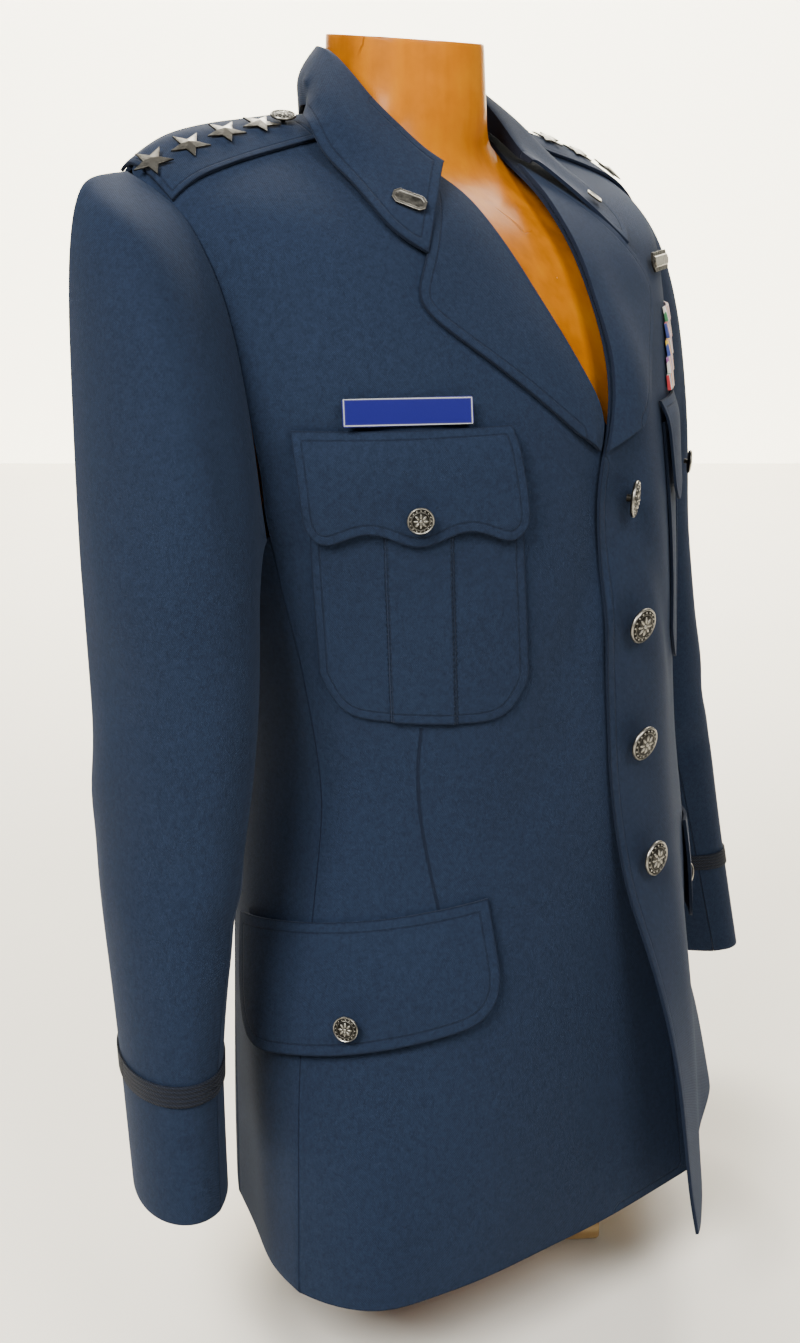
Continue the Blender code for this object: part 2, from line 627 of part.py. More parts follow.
def sleeve_grid(side):
    frames, turns = armhole_loop(side)
    top_ring = SLEEVES[side][-1][0]
    rows = []
    for step in CAP_STEPS:
        row = []
        for (point, normal), turn in zip(frames, turns):
            square = 2.0 + (CAP_SQUARE[side] - 2.0) * max(0.0, math.cos(turn)) ** 1.5
            seat = SLEEVE_SEAT[side] * (1 + max(0.0, -math.cos(turn)) + 0.8 * max(0.0, -math.sin(turn)))
            start = point + normal * seat
            end = tube_point(side, turn, top_ring)
            quarter = step * math.pi / 2
            level_share = math.sin(quarter) ** (2 / square)
            drop_share = 1 - math.cos(quarter) ** (2 / square)
            spot = start + (end - start) * level_share
            spot[2] = start[2] + (end[2] - start[2]) * drop_share
            row.append(spot)
        rows.append(row)
    for height in tube_rows(side):
        rows.append([tube_point(side, turn, height) for turn in turns])
    return np.array(rows), turns


def sleeve(side):
    grid, turns = sleeve_grid(side)
    normals = grid_normals(grid, closed=True) * side
    inner = grid - normals * CLOTH
    degrees = [math.degrees(t) for t in turns]
    count = len(turns)
    elbow = min(range(count), key=lambda i: abs(degrees[i] - ELBOW_SEAM))
    under = min(range(count), key=lambda i: abs(degrees[i] - INNER_SEAM))
    spans = {"sleeve_top_": (elbow, under), "sleeve_under_": (under, elbow)}
    for name, (first, last) in spans.items():
        run = [(first + k) % count for k in range((last - first) % count + 1)]
        outer_part, inner_part = grid[:, run].copy(), inner[:, run].copy()
        for part in (outer_part, inner_part):
            for end, near in ((0, 1), (-1, -2)):
                along = part[:, near] - part[:, end]
                part[:, end] += along / np.linalg.norm(along, axis=1, keepdims=True) * SEAM_GAP / 2
        wall(name + SIDE_NAMES[side], outer_part, inner_part, "blue_serge")


def sleeve_braid(side):
    _, turns = armhole_loop(side)
    rings = {}
    for label, offset in (("outer", SEAT_GAP + BRAID_DEPTH), ("inner", SEAT_GAP)):
        rings[label] = []
        for height in tube_rows(side)[-4:-2]:
            rings[label].append([tube_point(side, turn, height, offset) for turn in turns])
    wall("sleeve_braid_" + SIDE_NAMES[side], rings["outer"], rings["inner"], "braid", closed=True)


def collar_sections():
    """The collar's middle line at each station, right side first, then round the back to the left."""
    stations = [dict(zip(COLLAR_COLUMNS, row)) for row in COLLAR]
    count = len(stations)
    steps = np.arange(count, dtype=float)
    tables = Table(("station",) + COLLAR_COLUMNS, [(t,) + row for t, row in zip(steps, COLLAR)])

    def section(t):
        roll, free, seam = (np.array([tables.at(f"{part}_{axis}", t) for axis in "xyh"])
                            for part in ("roll", "edge", "seam"))
        outward = free - roll
        outward[2] = 0
        outward /= np.linalg.norm(outward)
        bow = outward * 0.0012 + np.array((0, 0, 0.0018))
        crown = roll + outward * 0.0022 + np.array((0, 0, 0.0004))
        return [seam, (seam + roll) / 2 - outward * 0.0006, roll - outward * 0.0004, crown,
                crown * 0.72 + free * 0.28 + bow, crown * 0.40 + free * 0.60 + bow * 0.8, free]

    def placed(t, side):
        """One side's section, with the left one set back like its shoulder and the fall laid on the body."""
        out = []
        for k, p in enumerate(section(t)):
            p = p * np.array((side, 1.0, 1.0))
            if side == LEFT:
                back = shear(p[0], p[2]) - shear(0.0, p[2]) * ease((t - 3) / 4)
                p = p + np.array((0.0, back, -COLLAR_DROP * ease(t / 2) * ease((7 - t) / 3)))
                p = p + np.array((0.0010, 0.0, 0.0012)) * max(0.0, 1 - t)
            over = COLLAR_OVER_STRAP * ease(1.4 - abs(p[1] - strap_line(side, STRAP["inner"])) / 0.036)
            over *= ease((t - 2) / 1.5)
            if k >= 4 and p[2] < COLLAR_CLEAR:
                p = push_out(p, COLLAR_LEAST + over)
            if k == 6:
                distance, way = stand_off(p)
                p = p + way * (COLLAR_EDGE_SEAT + over - distance)
            out.append(p)
        return out

    shares = [i / COLLAR_STEPS for i in range((count - 1) * COLLAR_STEPS + 1)]
    return [placed(t, RIGHT) for t in shares] + [placed(t, LEFT) for t in reversed(shares[:-1])]


def collar():
    """Stand and fall in one wall, from gorge to gorge round the back of the neck."""
    middle = np.array(collar_sections())
    normals = grid_normals(middle)
    wall("collar", middle + normals * CLOTH / 2, middle - normals * CLOTH / 2, "blue_serge")


def flap_grid(name, rows, columns, seat, offsets):
    """A piece lying on the tunic: seat(column, row) is its place and the way out, offsets its two faces."""
    seats = {(c, r): seat(c, r) for c in range(columns) for r in range(rows)}
    outer, inner = [], []
    for r in range(rows):
        row_out, row_in = [], []
        for c in range(columns):
            point, normal = seats[c, r]
            sag = 0.0
            for dc, dr in ((1, 0), (-1, 0), (0, 1), (0, -1), (1, 1), (-1, -1), (1, -1), (-1, 1)):
                if (c + dc, r + dr) in seats:
                    middle, out = seat(c + dc / 2, r + dr / 2)
                    chord = (point + seats[c + dc, r + dr][0]) / 2
                    sag = max(sag, float((middle - chord) @ out))
            low, high = offsets(c, r)
            row_in.append(point + normal * (low + sag))
            row_out.append(point + normal * (high + sag))
        outer.append(row_out)
        inner.append(row_in)
    return wall(name, outer, inner, "blue_serge")


def lapel(side):
    """The turned back front: rows from the gorge down to the top button, each from the roll outwards."""
    line = np.array(LAPEL_EDGE)
    lengths = np.concatenate(([0], np.cumsum(np.linalg.norm(np.diff(line, axis=0), axis=1))))

    def share(c):
        return (c / (LAPEL_COLUMNS - 1)) ** 1.4 if c > 0 else 0.0

    def seat(c, r):
        v, u = r / (LAPEL_ROWS - 1), share(c)
        roll_height = LAPEL_GORGE[1] + (LAPEL_FOOT - LAPEL_GORGE[1]) * v
        free_out = float(np.interp(v * lengths[-1], lengths, line[:, 0]))
        free_height = float(np.interp(v * lengths[-1], lengths, line[:, 1]))
        height = roll_height + (free_height - roll_height) * u
        roll_out = edge.at("out", roll_height)
        if side == RIGHT:
            roll_out = max(roll_out, LAPEL_TUCK - edge.at("out", roll_height))
        out = roll_out - 0.0008 + (free_out - roll_out + 0.0008) * u
        return frame_at(side, out_to_angle(side, out, height), height)

    def offsets(c, r):
        u = share(c)
        rise = (1 - u) * (1 - math.exp(-(u / 0.25) ** 2))
        low = SEAT_GAP + 0.0004 + 0.0016 * rise
        return low, low + CLOTH + 0.0009 * rise

    flap_grid("lapel_" + SIDE_NAMES[side], LAPEL_ROWS, LAPEL_COLUMNS, seat, offsets)


def seat_on(side, spot):
    """Turns distances round and heights into places on the tunic."""
    def seat(c, r):
        distance, height = spot(c, r)
        return frame_at(side, angle_at(side, distance, height), height)

    return seat


def chest_pocket(side):
    """Patch with a raised box pleat down its middle and rounded lower corners."""
    near, far = CHEST_POCKET["near"], CHEST_POCKET["far"]
    middle, half = (near + far) / 2, (far - near) / 2
    pleat = PLEAT_WIDTH / 2 / half
    step = 0.012
    folds = (-pleat - step, -pleat + step, 0.0, pleat - step, pleat + step)
    shares = (-1.0, -0.82, -0.58) + folds + (0.58, 0.82, 1.0)
    raised = {4, 5, 6}
    rows = 11
    radius = CHEST_POCKET["corner"]

    def spot(c, r):
        share = float(np.interp(c, range(len(shares)), shares))
        v = (r / (rows - 1)) ** 0.8
        height = CHEST_POCKET["top"] + (CHEST_POCKET["bottom"] - CHEST_POCKET["top"]) * v
        over = max(0.0, abs(share) * half - (half - radius))
        room = radius - math.sqrt(max(radius ** 2 - over ** 2, 0.0))
        height += room * v ** 6
        return middle + half * share, height

    def offsets(c, r):
        low = SEAT_GAP
        high = low + THIN_CLOTH + (PLEAT_HEIGHT if c in raised else 0.0)
        return low, high

    flap_grid("chest_pocket_" + SIDE_NAMES[side], rows, len(shares), seat_on(side, spot), offsets)


def chest_flap(side):
    """Buttoned flap whose lower edge comes to a soft middle point between two hollows."""
    near, far = CHEST_FLAP["near"], CHEST_FLAP["far"]
    middle, half = (near + far) / 2, (far - near) / 2
    rows, columns = 6, 15
    under = 2 * SEAT_GAP + THIN_CLOTH + PLEAT_HEIGHT + 0.0006

    def spot(c, r):
        u = 2 * c / (columns - 1) - 1
        v = r / (rows - 1)
        dip = 0.0045 * math.cos(2.35 * math.pi * u) - 0.0010
        corner = 0.006 * max(0.0, abs(u) - 0.93) / 0.07
        depth = CHEST_FLAP["depth"] + dip - corner
        return middle + half * u, CHEST_FLAP["top"] - depth * v

    def offsets(c, r):
        v = r / (rows - 1)
        low = under + 0.0008 * v if r > 0 else SEAT_GAP
        return low, low + THIN_CLOTH

    flap_grid("chest_flap_" + SIDE_NAMES[side], rows, columns, seat_on(side, spot), offsets)


def lower_flap(side):
    """Wide flap of the hanging pocket, rounded at both lower corners."""
    round_to = LEFT_FLAP_ROUND if side == LEFT else 0.0
    near, far = LOWER_FLAP["near"] + round_to, LOWER_FLAP["far"] + round_to
    half = (far - near) / 2
    rows, columns = 6, 15
    radius = LOWER_FLAP["corner"]

    def spot(c, r):
        u = math.sin((2 * c / (columns - 1) - 1) * math.pi / 2 * 0.98) / math.sin(math.pi / 2 * 0.98)
        v = r / (rows - 1)
        share = (u + 1) / 2
        top = LOWER_FLAP["top_near"] + (LOWER_FLAP["top_far"] - LOWER_FLAP["top_near"]) * share
        over = max(0.0, abs(u) * half - (half - radius))
        room = radius - math.sqrt(max(radius ** 2 - over ** 2, 0.0))
        depth = LOWER_FLAP["depth"] + 0.004 * share - room
        return (near + far) / 2 + half * u, top - depth * v

    def offsets(c, r):
        v = r / (rows - 1)
        low = SEAT_GAP + 0.0028 * math.sin(v * math.pi / 2)
        return low, low + CLOTH

    flap_grid("lower_flap_" + SIDE_NAMES[side], rows, columns, seat_on(side, spot), offsets)


def strap_line(side, out):
    """Where the strap's middle line lies, fore and aft."""
    start, end = STRAP_LINE[side]
    return start + (end - start) * (STRAP["outer"] - out) / (STRAP["outer"] - STRAP["inner"])


def strap(side):
    """Shoulder strap, sewn in at the armhole and buttoned by the collar."""
    rows, columns = 12, 6

    def seat(c, r):
        v, u = r / (rows - 1), 2 * c / (columns - 1) - 1
        out = STRAP["outer"] + (STRAP["inner"] - STRAP["outer"]) * v
        width = STRAP["outer_width"] + (STRAP["inner_width"] - STRAP["outer_width"]) * v
        return roof_frame(side, out, strap_line(side, out) + u * width / 2)

    def offsets(c, r):
        return STRAP_SEAT, STRAP_SEAT + CLOTH

    flap_grid("strap_" + SIDE_NAMES[side], rows, columns, seat, offsets)


def turned(name, profile, segments, place, finish_name):
    """A turned solid from (radius, height) pairs, first and last on the axis."""
    points, faces = [], []
    for radius, height in profile:
        if radius == 0:
            points.append((0.0, 0.0, height))
            continue
        for k in range(segments):
            a = 2 * math.pi * k / segments
            points.append((radius * math.cos(a), radius * math.sin(a), height))
    last = len(points) - 1
    rings = len(profile) - 2
    for k in range(segments):
        k2 = (k + 1) % segments
        faces.append((0, 1 + k2, 1 + k))
        for r in range(rings - 1):
            a, b = 1 + r * segments + k, 1 + r * segments + k2
            faces.append((a, b, b + segments, a + segments))
        base = 1 + (rings - 1) * segments
        faces.append((base + k, base + k2, last))
    return finish(name, [tuple(place @ Vector(p)) for p in points], faces, finish_name)


def facing(point, normal, up=(0, 0, 1)):
    """Placement whose +Z is the normal and whose +Y is as near to up as can be."""
    z = Vector(normal).normalized()
    y = Vector(up)
    y = (y - z * y.dot(z)).normalized()
    x = y.cross(z)
    place = Matrix((x, y, z)).transposed().to_4x4()
    place.translation = Vector(lift(point))
    return place


def button(name, point, normal, diameter, droop=0.0):
    """Domed metal button on a short shank; its heavy face tips down a little."""
    normal = Vector(normal)
    side_axis = normal.cross(Vector((0, 0, 1)))
    if side_axis.length > 0.2:
        normal = Matrix.Rotation(-droop, 3, side_axis) @ normal
    r = diameter / 2
    stand = 0.0030 + r * math.sin(abs(droop)) * 0.6
    profile = ((0.0, SEAT_GAP), (r * 0.20, SEAT_GAP), (r * 0.20, stand), (r, stand + r * 0.08),
               (r * 0.97, stand + r * 0.22), (r * 0.62, stand + r * 0.38), (0.0, stand + r * 0.46))
    turned(name, profile, 12, facing(point, normal), "silver")


def star(name, place):
    """Five-pointed star with a raised middle and ridged arms."""
    inner_radius, edge_height, peak = STAR_RADIUS * 0.40, 0.0010, 0.0030
    rim = []
    for k in range(10):
        radius = STAR_RADIUS if k % 2 == 0 else inner_radius
        a = math.pi / 2 + k * math.pi / 5
        rim.append((radius * math.cos(a), radius * math.sin(a)))
    points = [(x, y, 0.0) for x, y in rim] + [(x, y, edge_height) for x, y in rim]
    points += [(0.0, 0.0, peak), (0.0, 0.0, 0.0)]
    faces = []
    for k in range(10):
        k2 = (k + 1) % 10
        faces.append((k, k2, k2 + 10, k + 10))
        faces.append((k + 10, k2 + 10, 20))
        faces.append((k2, k, 21))
    finish(name, [tuple(place @ Vector(p)) for p in points], faces, "silver", smooth=False)


def bar(name, place, width, height, depth, finish_name, inset=0.0, rise=0.0, corner=0.0):
    """A flat bar with a raised or sunk middle and cut corners."""
    def ring(shrink_by, z):
        w, h = width / 2 - shrink_by, height / 2 - shrink_by
        k = max(corner - shrink_by * 0.5, 0.0002)
        return [(w, -h + k, z), (w, h - k, z), (w - k, h, z), (-w + k, h, z),
                (-w, h - k, z), (-w, -h + k, z), (-w + k, -h, z), (w - k, -h, z)]

    rings = [ring(0, 0.0), ring(0, depth)]
    if inset:
        rings += [ring(inset, depth), ring(inset * 1.3, depth + rise)]
    points = [p for one in rings for p in one]
    n = 8
    faces = [tuple(reversed(range(n)))]
    for r in range(len(rings) - 1):
        for k in range(n):
            a, b = r * n + k, r * n + (k + 1) % n
            faces.append((a, b, b + n, a + n))
    faces.append(tuple(range((len(rings) - 1) * n, len(rings) * n)))
    finish(name, [tuple(place @ Vector(p)) for p in points], faces, finish_name, smooth=False)


def front_buttons():
    for k in range(BUTTON_COUNT):
        height = TOP_BUTTON_HEIGHT - BUTTON_SPACING * k
        point, normal = frame_at(LEFT, out_to_angle(LEFT, 0.0005, height), height)
        stand = 0.0033 if k == 0 else 0.0003
        if k == 0:
            normal = np.array(Matrix.Rotation(TOP_BUTTON_TURN, 3, "Z") @ Vector(normal))
        button(f"front_button_{k + 1}", point + normal * stand, normal, FRONT_BUTTON, math.radians(14))


def pocket_buttons(side):
    name = SIDE_NAMES[side]
    middle = (CHEST_FLAP["near"] + CHEST_FLAP["far"]) / 2
    height = CHEST_FLAP["top"] - CHEST_FLAP["depth"] + 0.014
    point, normal = frame_at(side, angle_at(side, middle, height), height)
    flap_face = 3 * SEAT_GAP + 2 * THIN_CLOTH + PLEAT_HEIGHT + 0.0012
    button("chest_button_" + name, point + normal * flap_face, normal, POCKET_BUTTON, math.radians(6))
    middle = (LOWER_FLAP["near"] + LOWER_FLAP["far"]) / 2 + (LEFT_FLAP_ROUND if side == LEFT else 0.0)
    top = (LOWER_FLAP["top_near"] + LOWER_FLAP["top_far"]) / 2
    height = top - LOWER_FLAP["depth"] + 0.014
    point, normal = frame_at(side, angle_at(side, middle, height), height)
    button("lower_button_" + name, point + normal * (SEAT_GAP + 0.0036 + CLOTH), normal, POCKET_BUTTON,
           math.radians(10))


def strap_frame(side, out):
    """Point and normal on top of the strap's middle line."""
    point, normal = roof_frame(side, out, strap_line(side, out))
    return point + normal * (STRAP_SEAT + SEAT_GAP / 2 + CLOTH), normal


def strap_trim(side):
    name = SIDE_NAMES[side]
    point, normal = strap_frame(side, STRAP_BUTTON_X)
    button("strap_button_" + name, point, normal, POCKET_BUTTON)
    for k in range(STAR_COUNT):
        point, normal = strap_frame(side, FIRST_STAR_X - STAR_PITCH * k)
        rise = SEAT_GAP + STAR_RISE + (OUTER_STAR_RISE[side] if k == 0 else 0.0)
        star(f"star_{name}_{k + 1}", facing(point + normal * rise, normal, up=(side, 0, 0)))


def name_plate():
    distance, height = 0.1385, 0.5275
    point, normal = frame_at(RIGHT, angle_at(RIGHT, distance, height), height)
    bar("name_plate", facing(point + normal * SEAT_GAP, normal), PLATE_LENGTH, PLATE_HEIGHT, PLATE_DEPTH,
        "plate_blue", corner=0.0008)


def collar_pin(side):
    """Small bare pin near the front corner of the collar."""
    rows = np.array(collar_sections())
    if side == LEFT:
        rows = rows[::-1]
    place = PIN_STATION * COLLAR_STEPS
    first, part = int(place), place - int(place)
    section = rows[first] * (1 - part) + rows[first + 1] * part
    point = section[4] + (section[6] - section[4]) * (PIN_SHARE - 0.28) / 0.72
    down = section[6] - section[4]
    along = rows[first + 1][5] - rows[first][5]
    normal = np.cross(down, along)
    normal /= np.linalg.norm(normal)
    if normal[1] > 0:
        normal = -normal
    across = np.cross(down / np.linalg.norm(down), normal)
    up = np.cross(normal, across) * (1 if down[2] < 0 else -1)
    place = facing(point + normal * (CLOTH / 2 + PIN_SEAT[side]), normal, up=up)
    bar("collar_pin_" + SIDE_NAMES[side], place, 0.021, 0.011, 0.0012, "silver",
        inset=0.0016, rise=-0.0004, corner=0.003)


def badge():
    distance, height = 0.156, 0.600
    point, normal = frame_at(LEFT, angle_at(LEFT, distance, height), height)
    bar("chest_badge", facing(point + normal * 0.0005, normal), 0.066, 0.013, 0.0016, "silver",
        inset=0.0026, rise=0.0012, corner=0.005)


def ribbon_rack():
    """Stack of ribbon bars above the left pocket, the upper rows narrower."""
    rows = 5
    columns = 7
    row_height = 0.0104
    bottom = CHEST_FLAP["top"] + 0.0025
    outer, inner = [], []
    for r in range(2 * rows):
        bar_index = r // 2
        height = bottom + row_height * bar_index + (0.0006 if r % 2 == 0 else row_height - 0.0006)
        near = 0.108 + 0.007 * bar_index
        far = 0.196
        row_out, row_in = [], []
        for c in range(columns):
            distance = near + (far - near) * c / (columns - 1)
            point, normal = frame_at(LEFT, angle_at(LEFT, distance, height), height)
            row_in.append(point + normal * 0.0008)
            row_out.append(point + normal * (0.0032 if r % 2 == 0 else 0.0026))
        outer.append(row_out)
        inner.append(row_in)
    wall("ribbon_rack", outer, inner, "ribbon")


def torso_form():
    """Limbless form from hip to neck, in rings, with a sloping cut at the neck."""
    points, faces = [], []
    for h in FORM_ROWS:
        width, side_y, front_y, back_y, full = (float(form_table.at(n, h)) for n in FORM_COLUMNS[1:])
        for k in range(FORM_SEGMENTS):
            a = 2 * math.pi * k / FORM_SEGMENTS
            s, c = math.sin(a), math.cos(a)
            x = width * math.copysign(abs(s) ** (2 / full), s)
            reach = (front_y - side_y) if c > 0 else (back_y - side_y)
            y = side_y + reach * abs(c) ** (2 / full) + shear(x, h) * (1 - ease((h - 0.648) / 0.058))
            tilt = FORM_TILT * (y - 0.020) if h == FORM_ROWS[-1] else 0.0
            points.append(lift((x, y, h + tilt)))
    n = FORM_SEGMENTS
    for r in range(len(FORM_ROWS) - 1):
        for k in range(n):
            a, b = r * n + k, r * n + (k + 1) % n
            faces.append((a, b, b + n, a + n))
    faces.append(tuple(range(n)))
    faces.append(tuple(reversed(range((len(FORM_ROWS) - 1) * n, len(FORM_ROWS) * n))))
    finish("torso_form", points, faces, "amber_shellac")


def base_block():
    bpy.ops.mesh.primitive_cube_add(size=1, location=(0, 0, BASE_HEIGHT / 2), rotation=(0, 0, BASE_TURN))
    block = bpy.context.active_object
    block.name = "base_block"
    block.data.name = "base_block"
    block.scale = (BASE_SIDE, BASE_SIDE, BASE_HEIGHT)
    bpy.ops.object.transform_apply(location=False, rotation=False, scale=True)
    bevel = block.modifiers.new("Edges", "BEVEL")
    bevel.width = 0.002
    bevel.segments = 1
    block.data.materials.append(material("pine"))


clear_scene()
for one_side in (RIGHT, LEFT):
    front_panel(one_side)
    side_panel(one_side)
    back_panel(one_side)
    sleeve(one_side)
    sleeve_braid(one_side)
    lapel(one_side)
    chest_pocket(one_side)
    chest_flap(one_side)
    lower_flap(one_side)
    strap(one_side)
    strap_trim(one_side)
    pocket_buttons(one_side)
    collar_pin(one_side)
collar()
front_buttons()
name_plate()
badge()
ribbon_rack()
torso_form()
base_block()
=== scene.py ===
import math

import bmesh
import bpy
import numpy as np
from mathutils import Matrix, Vector, kdtree
from mathutils.bvhtree import BVHTree


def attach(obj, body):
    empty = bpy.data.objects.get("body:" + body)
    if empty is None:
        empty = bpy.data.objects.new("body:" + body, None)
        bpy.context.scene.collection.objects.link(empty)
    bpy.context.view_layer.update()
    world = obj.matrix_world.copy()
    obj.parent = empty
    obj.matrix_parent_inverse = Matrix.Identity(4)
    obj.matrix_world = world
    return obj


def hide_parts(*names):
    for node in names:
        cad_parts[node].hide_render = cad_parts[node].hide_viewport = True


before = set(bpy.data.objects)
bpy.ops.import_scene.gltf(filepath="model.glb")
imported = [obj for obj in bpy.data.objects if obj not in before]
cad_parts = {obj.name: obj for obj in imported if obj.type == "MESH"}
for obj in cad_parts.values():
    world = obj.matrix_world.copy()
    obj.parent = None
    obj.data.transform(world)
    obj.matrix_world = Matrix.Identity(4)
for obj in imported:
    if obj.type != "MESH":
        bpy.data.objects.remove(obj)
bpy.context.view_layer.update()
bpy.ops.object.select_all(action="DESELECT")
MM = 0.001

# Body of the tunic: two fronts, two side panels and two backs of fine dark blue wool serge, pressed smooth.
# They are sewn edge to edge, so each seam sinks a little between two soft folds of cloth. The fronts' free
# edges are stitched down close to the edge.
CLOTH = 0.0022
SEAM_WIDTH, SEAM_SINK = 0.0013, 0.00035
STITCH_LENGTH_MM = 2.8
STITCH_RUN = np.array((0.62, 0.45, 0.64))
FAR_MM = 99.0
CORNER_ANGLE, FOLD_ANGLE, BROAD_FACE_ANGLE = 70, 66, 58
FOLD_STEPS = 12
THROUGH_CLOTH = 0.0027
BODY_MIDDLE = (0.0, 0.005, 0.0)
SERGE_BLUE = (0.0128, 0.0232, 0.0500, 1.0)
SERGE_DEEP = (0.0048, 0.0085, 0.0195, 1.0)


class Field:
    """A value that changes over a surface, made by shader nodes and joined with plain sums."""

    def __init__(self, tree, out):
        self.tree, self.out = tree, out

    def node(self, kind, settings, sockets, take=0):
        made = self.tree.nodes.new("ShaderNode" + kind)
        for key, value in settings.items():
            if key == "stops":
                ramp = made.color_ramp.elements
                ramp[0].position, ramp[0].color = value[0]
                ramp.remove(ramp[1])
                for place, colour in value[1:]:
                    ramp.new(place).color = colour
            else:
                setattr(made, key, value)
        for key, value in sockets.items():
            if isinstance(value, Field):
                self.tree.links.new(value.out, made.inputs[key])
            else:
                made.inputs[key].default_value = value
        return Field(self.tree, made.outputs[take])

    def math(self, operation, second=0.0):
        return self.node("Math", {"operation": operation}, {0: self, 1: second})

    def __add__(self, other):
        return self.math("ADD", other)

    def __sub__(self, other):
        return self.math("SUBTRACT", other)

    def __rsub__(self, other):
        return self.node("Math", {"operation": "SUBTRACT"}, {0: other, 1: self})

    def __mul__(self, other):
        return self.math("MULTIPLY", other)

    def __truediv__(self, other):
        return self.math("DIVIDE", other)

    def __rtruediv__(self, other):
        return self.node("Math", {"operation": "DIVIDE"}, {0: other, 1: self})

    __radd__, __rmul__ = __add__, __mul__

    def line(self, centre, half_width):
        """1 along a line where this value is centre, fading to 0 over about half_width each side."""
        away = (self - centre) / half_width
        return 1.0 / (1.0 + away * away * away * away)

    def wave(self, period):
        """A sine that repeats every period of this value."""
        return (self * (2 * math.pi / period)).math("SINE")

    def rises(self, low, high):
        """0 below low, 1 above high."""
        return self.node("MapRange", {"interpolation_type": "SMOOTHSTEP"}, {"Value": self, 1: low, 2: high})

    def tint(self, first, second):
        """The first colour where this is 0, the second where it is 1."""
        return self.node("Mix", {"data_type": "RGBA"}, {0: self, 6: first, 7: second}, take=2)


def start_material(name, **constants):
    """A new Principled material with its constants set, its object coordinates and its shader."""
    made = bpy.data.materials.new(name)
    made.use_nodes = True
    tree = made.node_tree
    shader = tree.nodes["Principled BSDF"]
    for key, value in constants.items():
        shader.inputs[key.replace("_", " ")].default_value = value
    place = Field(tree, tree.nodes.new("ShaderNodeTexCoord").outputs["Object"])
    return made, place, shader


def finish_material(shader, place, colour, roughness=None, height=None):
    """Join the finished fields to the shader. The height is in millimetres."""
    place.tree.links.new(colour.out, shader.inputs["Base Color"])
    if roughness is not None:
        place.tree.links.new(roughness.out, shader.inputs["Roughness"])
    if height is not None:
        bump = place.node("Bump", {}, {"Strength": 1.0, "Distance": MM, "Height": height})
        place.tree.links.new(bump.out, shader.inputs["Normal"])


def attribute(place, name):
    return place.node("Attribute", {"attribute_type": "GEOMETRY", "attribute_name": name}, {}, take=2)


def serge(name, stitch_mm=6.0, marks=False):
    """Fine twill: a slight diagonal rib and nap, with a row of stitches sunk along the stitched edges.
    Painted shade darkens that row, the narrow rim at every cut edge and seam, and a line along the stitched
    edges.
    With marks, the sewn lines of darts and the folds of pleats are pressed in too and darkened with painted
    shade."""
    made, place, shader = start_material(
        name, Roughness=0.88, Sheen_Weight=0.05, Sheen_Roughness=0.5, Sheen_Tint=(0.55, 0.68, 1.0, 1.0))
    shader.inputs["Specular IOR Level"].default_value = 0.12
    nap = place.node("TexNoise", {}, {"Vector": place, "Scale": 900.0, "Detail": 2.0})
    cloudy = place.node("TexNoise", {}, {"Vector": place, "Scale": 9.0, "Detail": 3.0})
    flecks = place.node("TexNoise", {}, {"Vector": place, "Scale": 330.0, "Detail": 3.0, "Roughness": 0.7})
    turned = place.node("Mapping", {}, {"Vector": place, "Rotation": (0.6, 0.6, 0.75)})
    rib = place.node("TexWave", {"bands_direction": "X"},
                     {"Vector": turned, "Scale": 420.0, "Distortion": 1.2, "Detail": 1.0})
    edge, along = attribute(place, "edge_mm"), attribute(place, "along_mm")
    seam = attribute(place, "seam_mm")
    stitched = edge.line(stitch_mm, 0.50)
    thread = edge.line(stitch_mm, 0.22) * along.wave(STITCH_LENGTH_MM).rises(-0.5, 0.1)
    tone_and_painted_shade = nap * 0.55 + flecks * 0.85 + rib * 0.28 + cloudy * 0.30 - 0.50
    # Painted shade: the stitch row, the last 0.7 mm at every cut edge and seam, and a line along the
    # stitched edges are darkened in the colour.
    tone_and_painted_shade = tone_and_painted_shade - stitched * 0.30 - (1.0 - seam.rises(0.05, 0.70)) * 0.45 - edge.line(0.0, 0.9) * 0.28
    height = nap * 0.10 + rib * 0.09 + flecks * 0.06 - stitched * 0.30 + thread * 0.14
    if marks:
        dart = attribute(place, "dart_mm").line(0.0, 0.55)
        # Painted shade: the dart lines and pleat folds are darkened in the colour as well as pressed in.
        tone_and_painted_shade = tone_and_painted_shade - dart * 0.55
        height = height - dart * 0.55
    finish_material(shader, place, tone_and_painted_shade.rises(0.0, 1.0).tint(SERGE_DEEP, SERGE_BLUE), height=height)
    return made


def activate(piece):
    bpy.ops.object.select_all(action="DESELECT")
    bpy.context.view_layer.objects.active = piece
    piece.select_set(True)


def add_modifier(piece, kind, **settings):
    activate(piece)
    made = piece.modifiers.new(kind.title(), kind)
    for key, value in settings.items():
        setattr(made, key, value)
    bpy.ops.object.modifier_apply(modifier=made.name)


def copied_node(node_name, piece_name):
    """The merged copy of a CAD node, in quads."""
    piece = bpy.data.objects.new(piece_name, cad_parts[node_name].data.copy())
    bpy.context.scene.collection.objects.link(piece)
    piece.data.materials.clear()
    activate(piece)
    bpy.ops.object.mode_set(mode="EDIT")
    bpy.ops.mesh.select_all(action="SELECT")
    bpy.ops.mesh.remove_doubles(threshold=0.00002)
    bpy.ops.mesh.tris_convert_to_quads(face_threshold=math.radians(60), shape_threshold=math.radians(100))
    bpy.ops.object.mode_set(mode="OBJECT")
    return piece


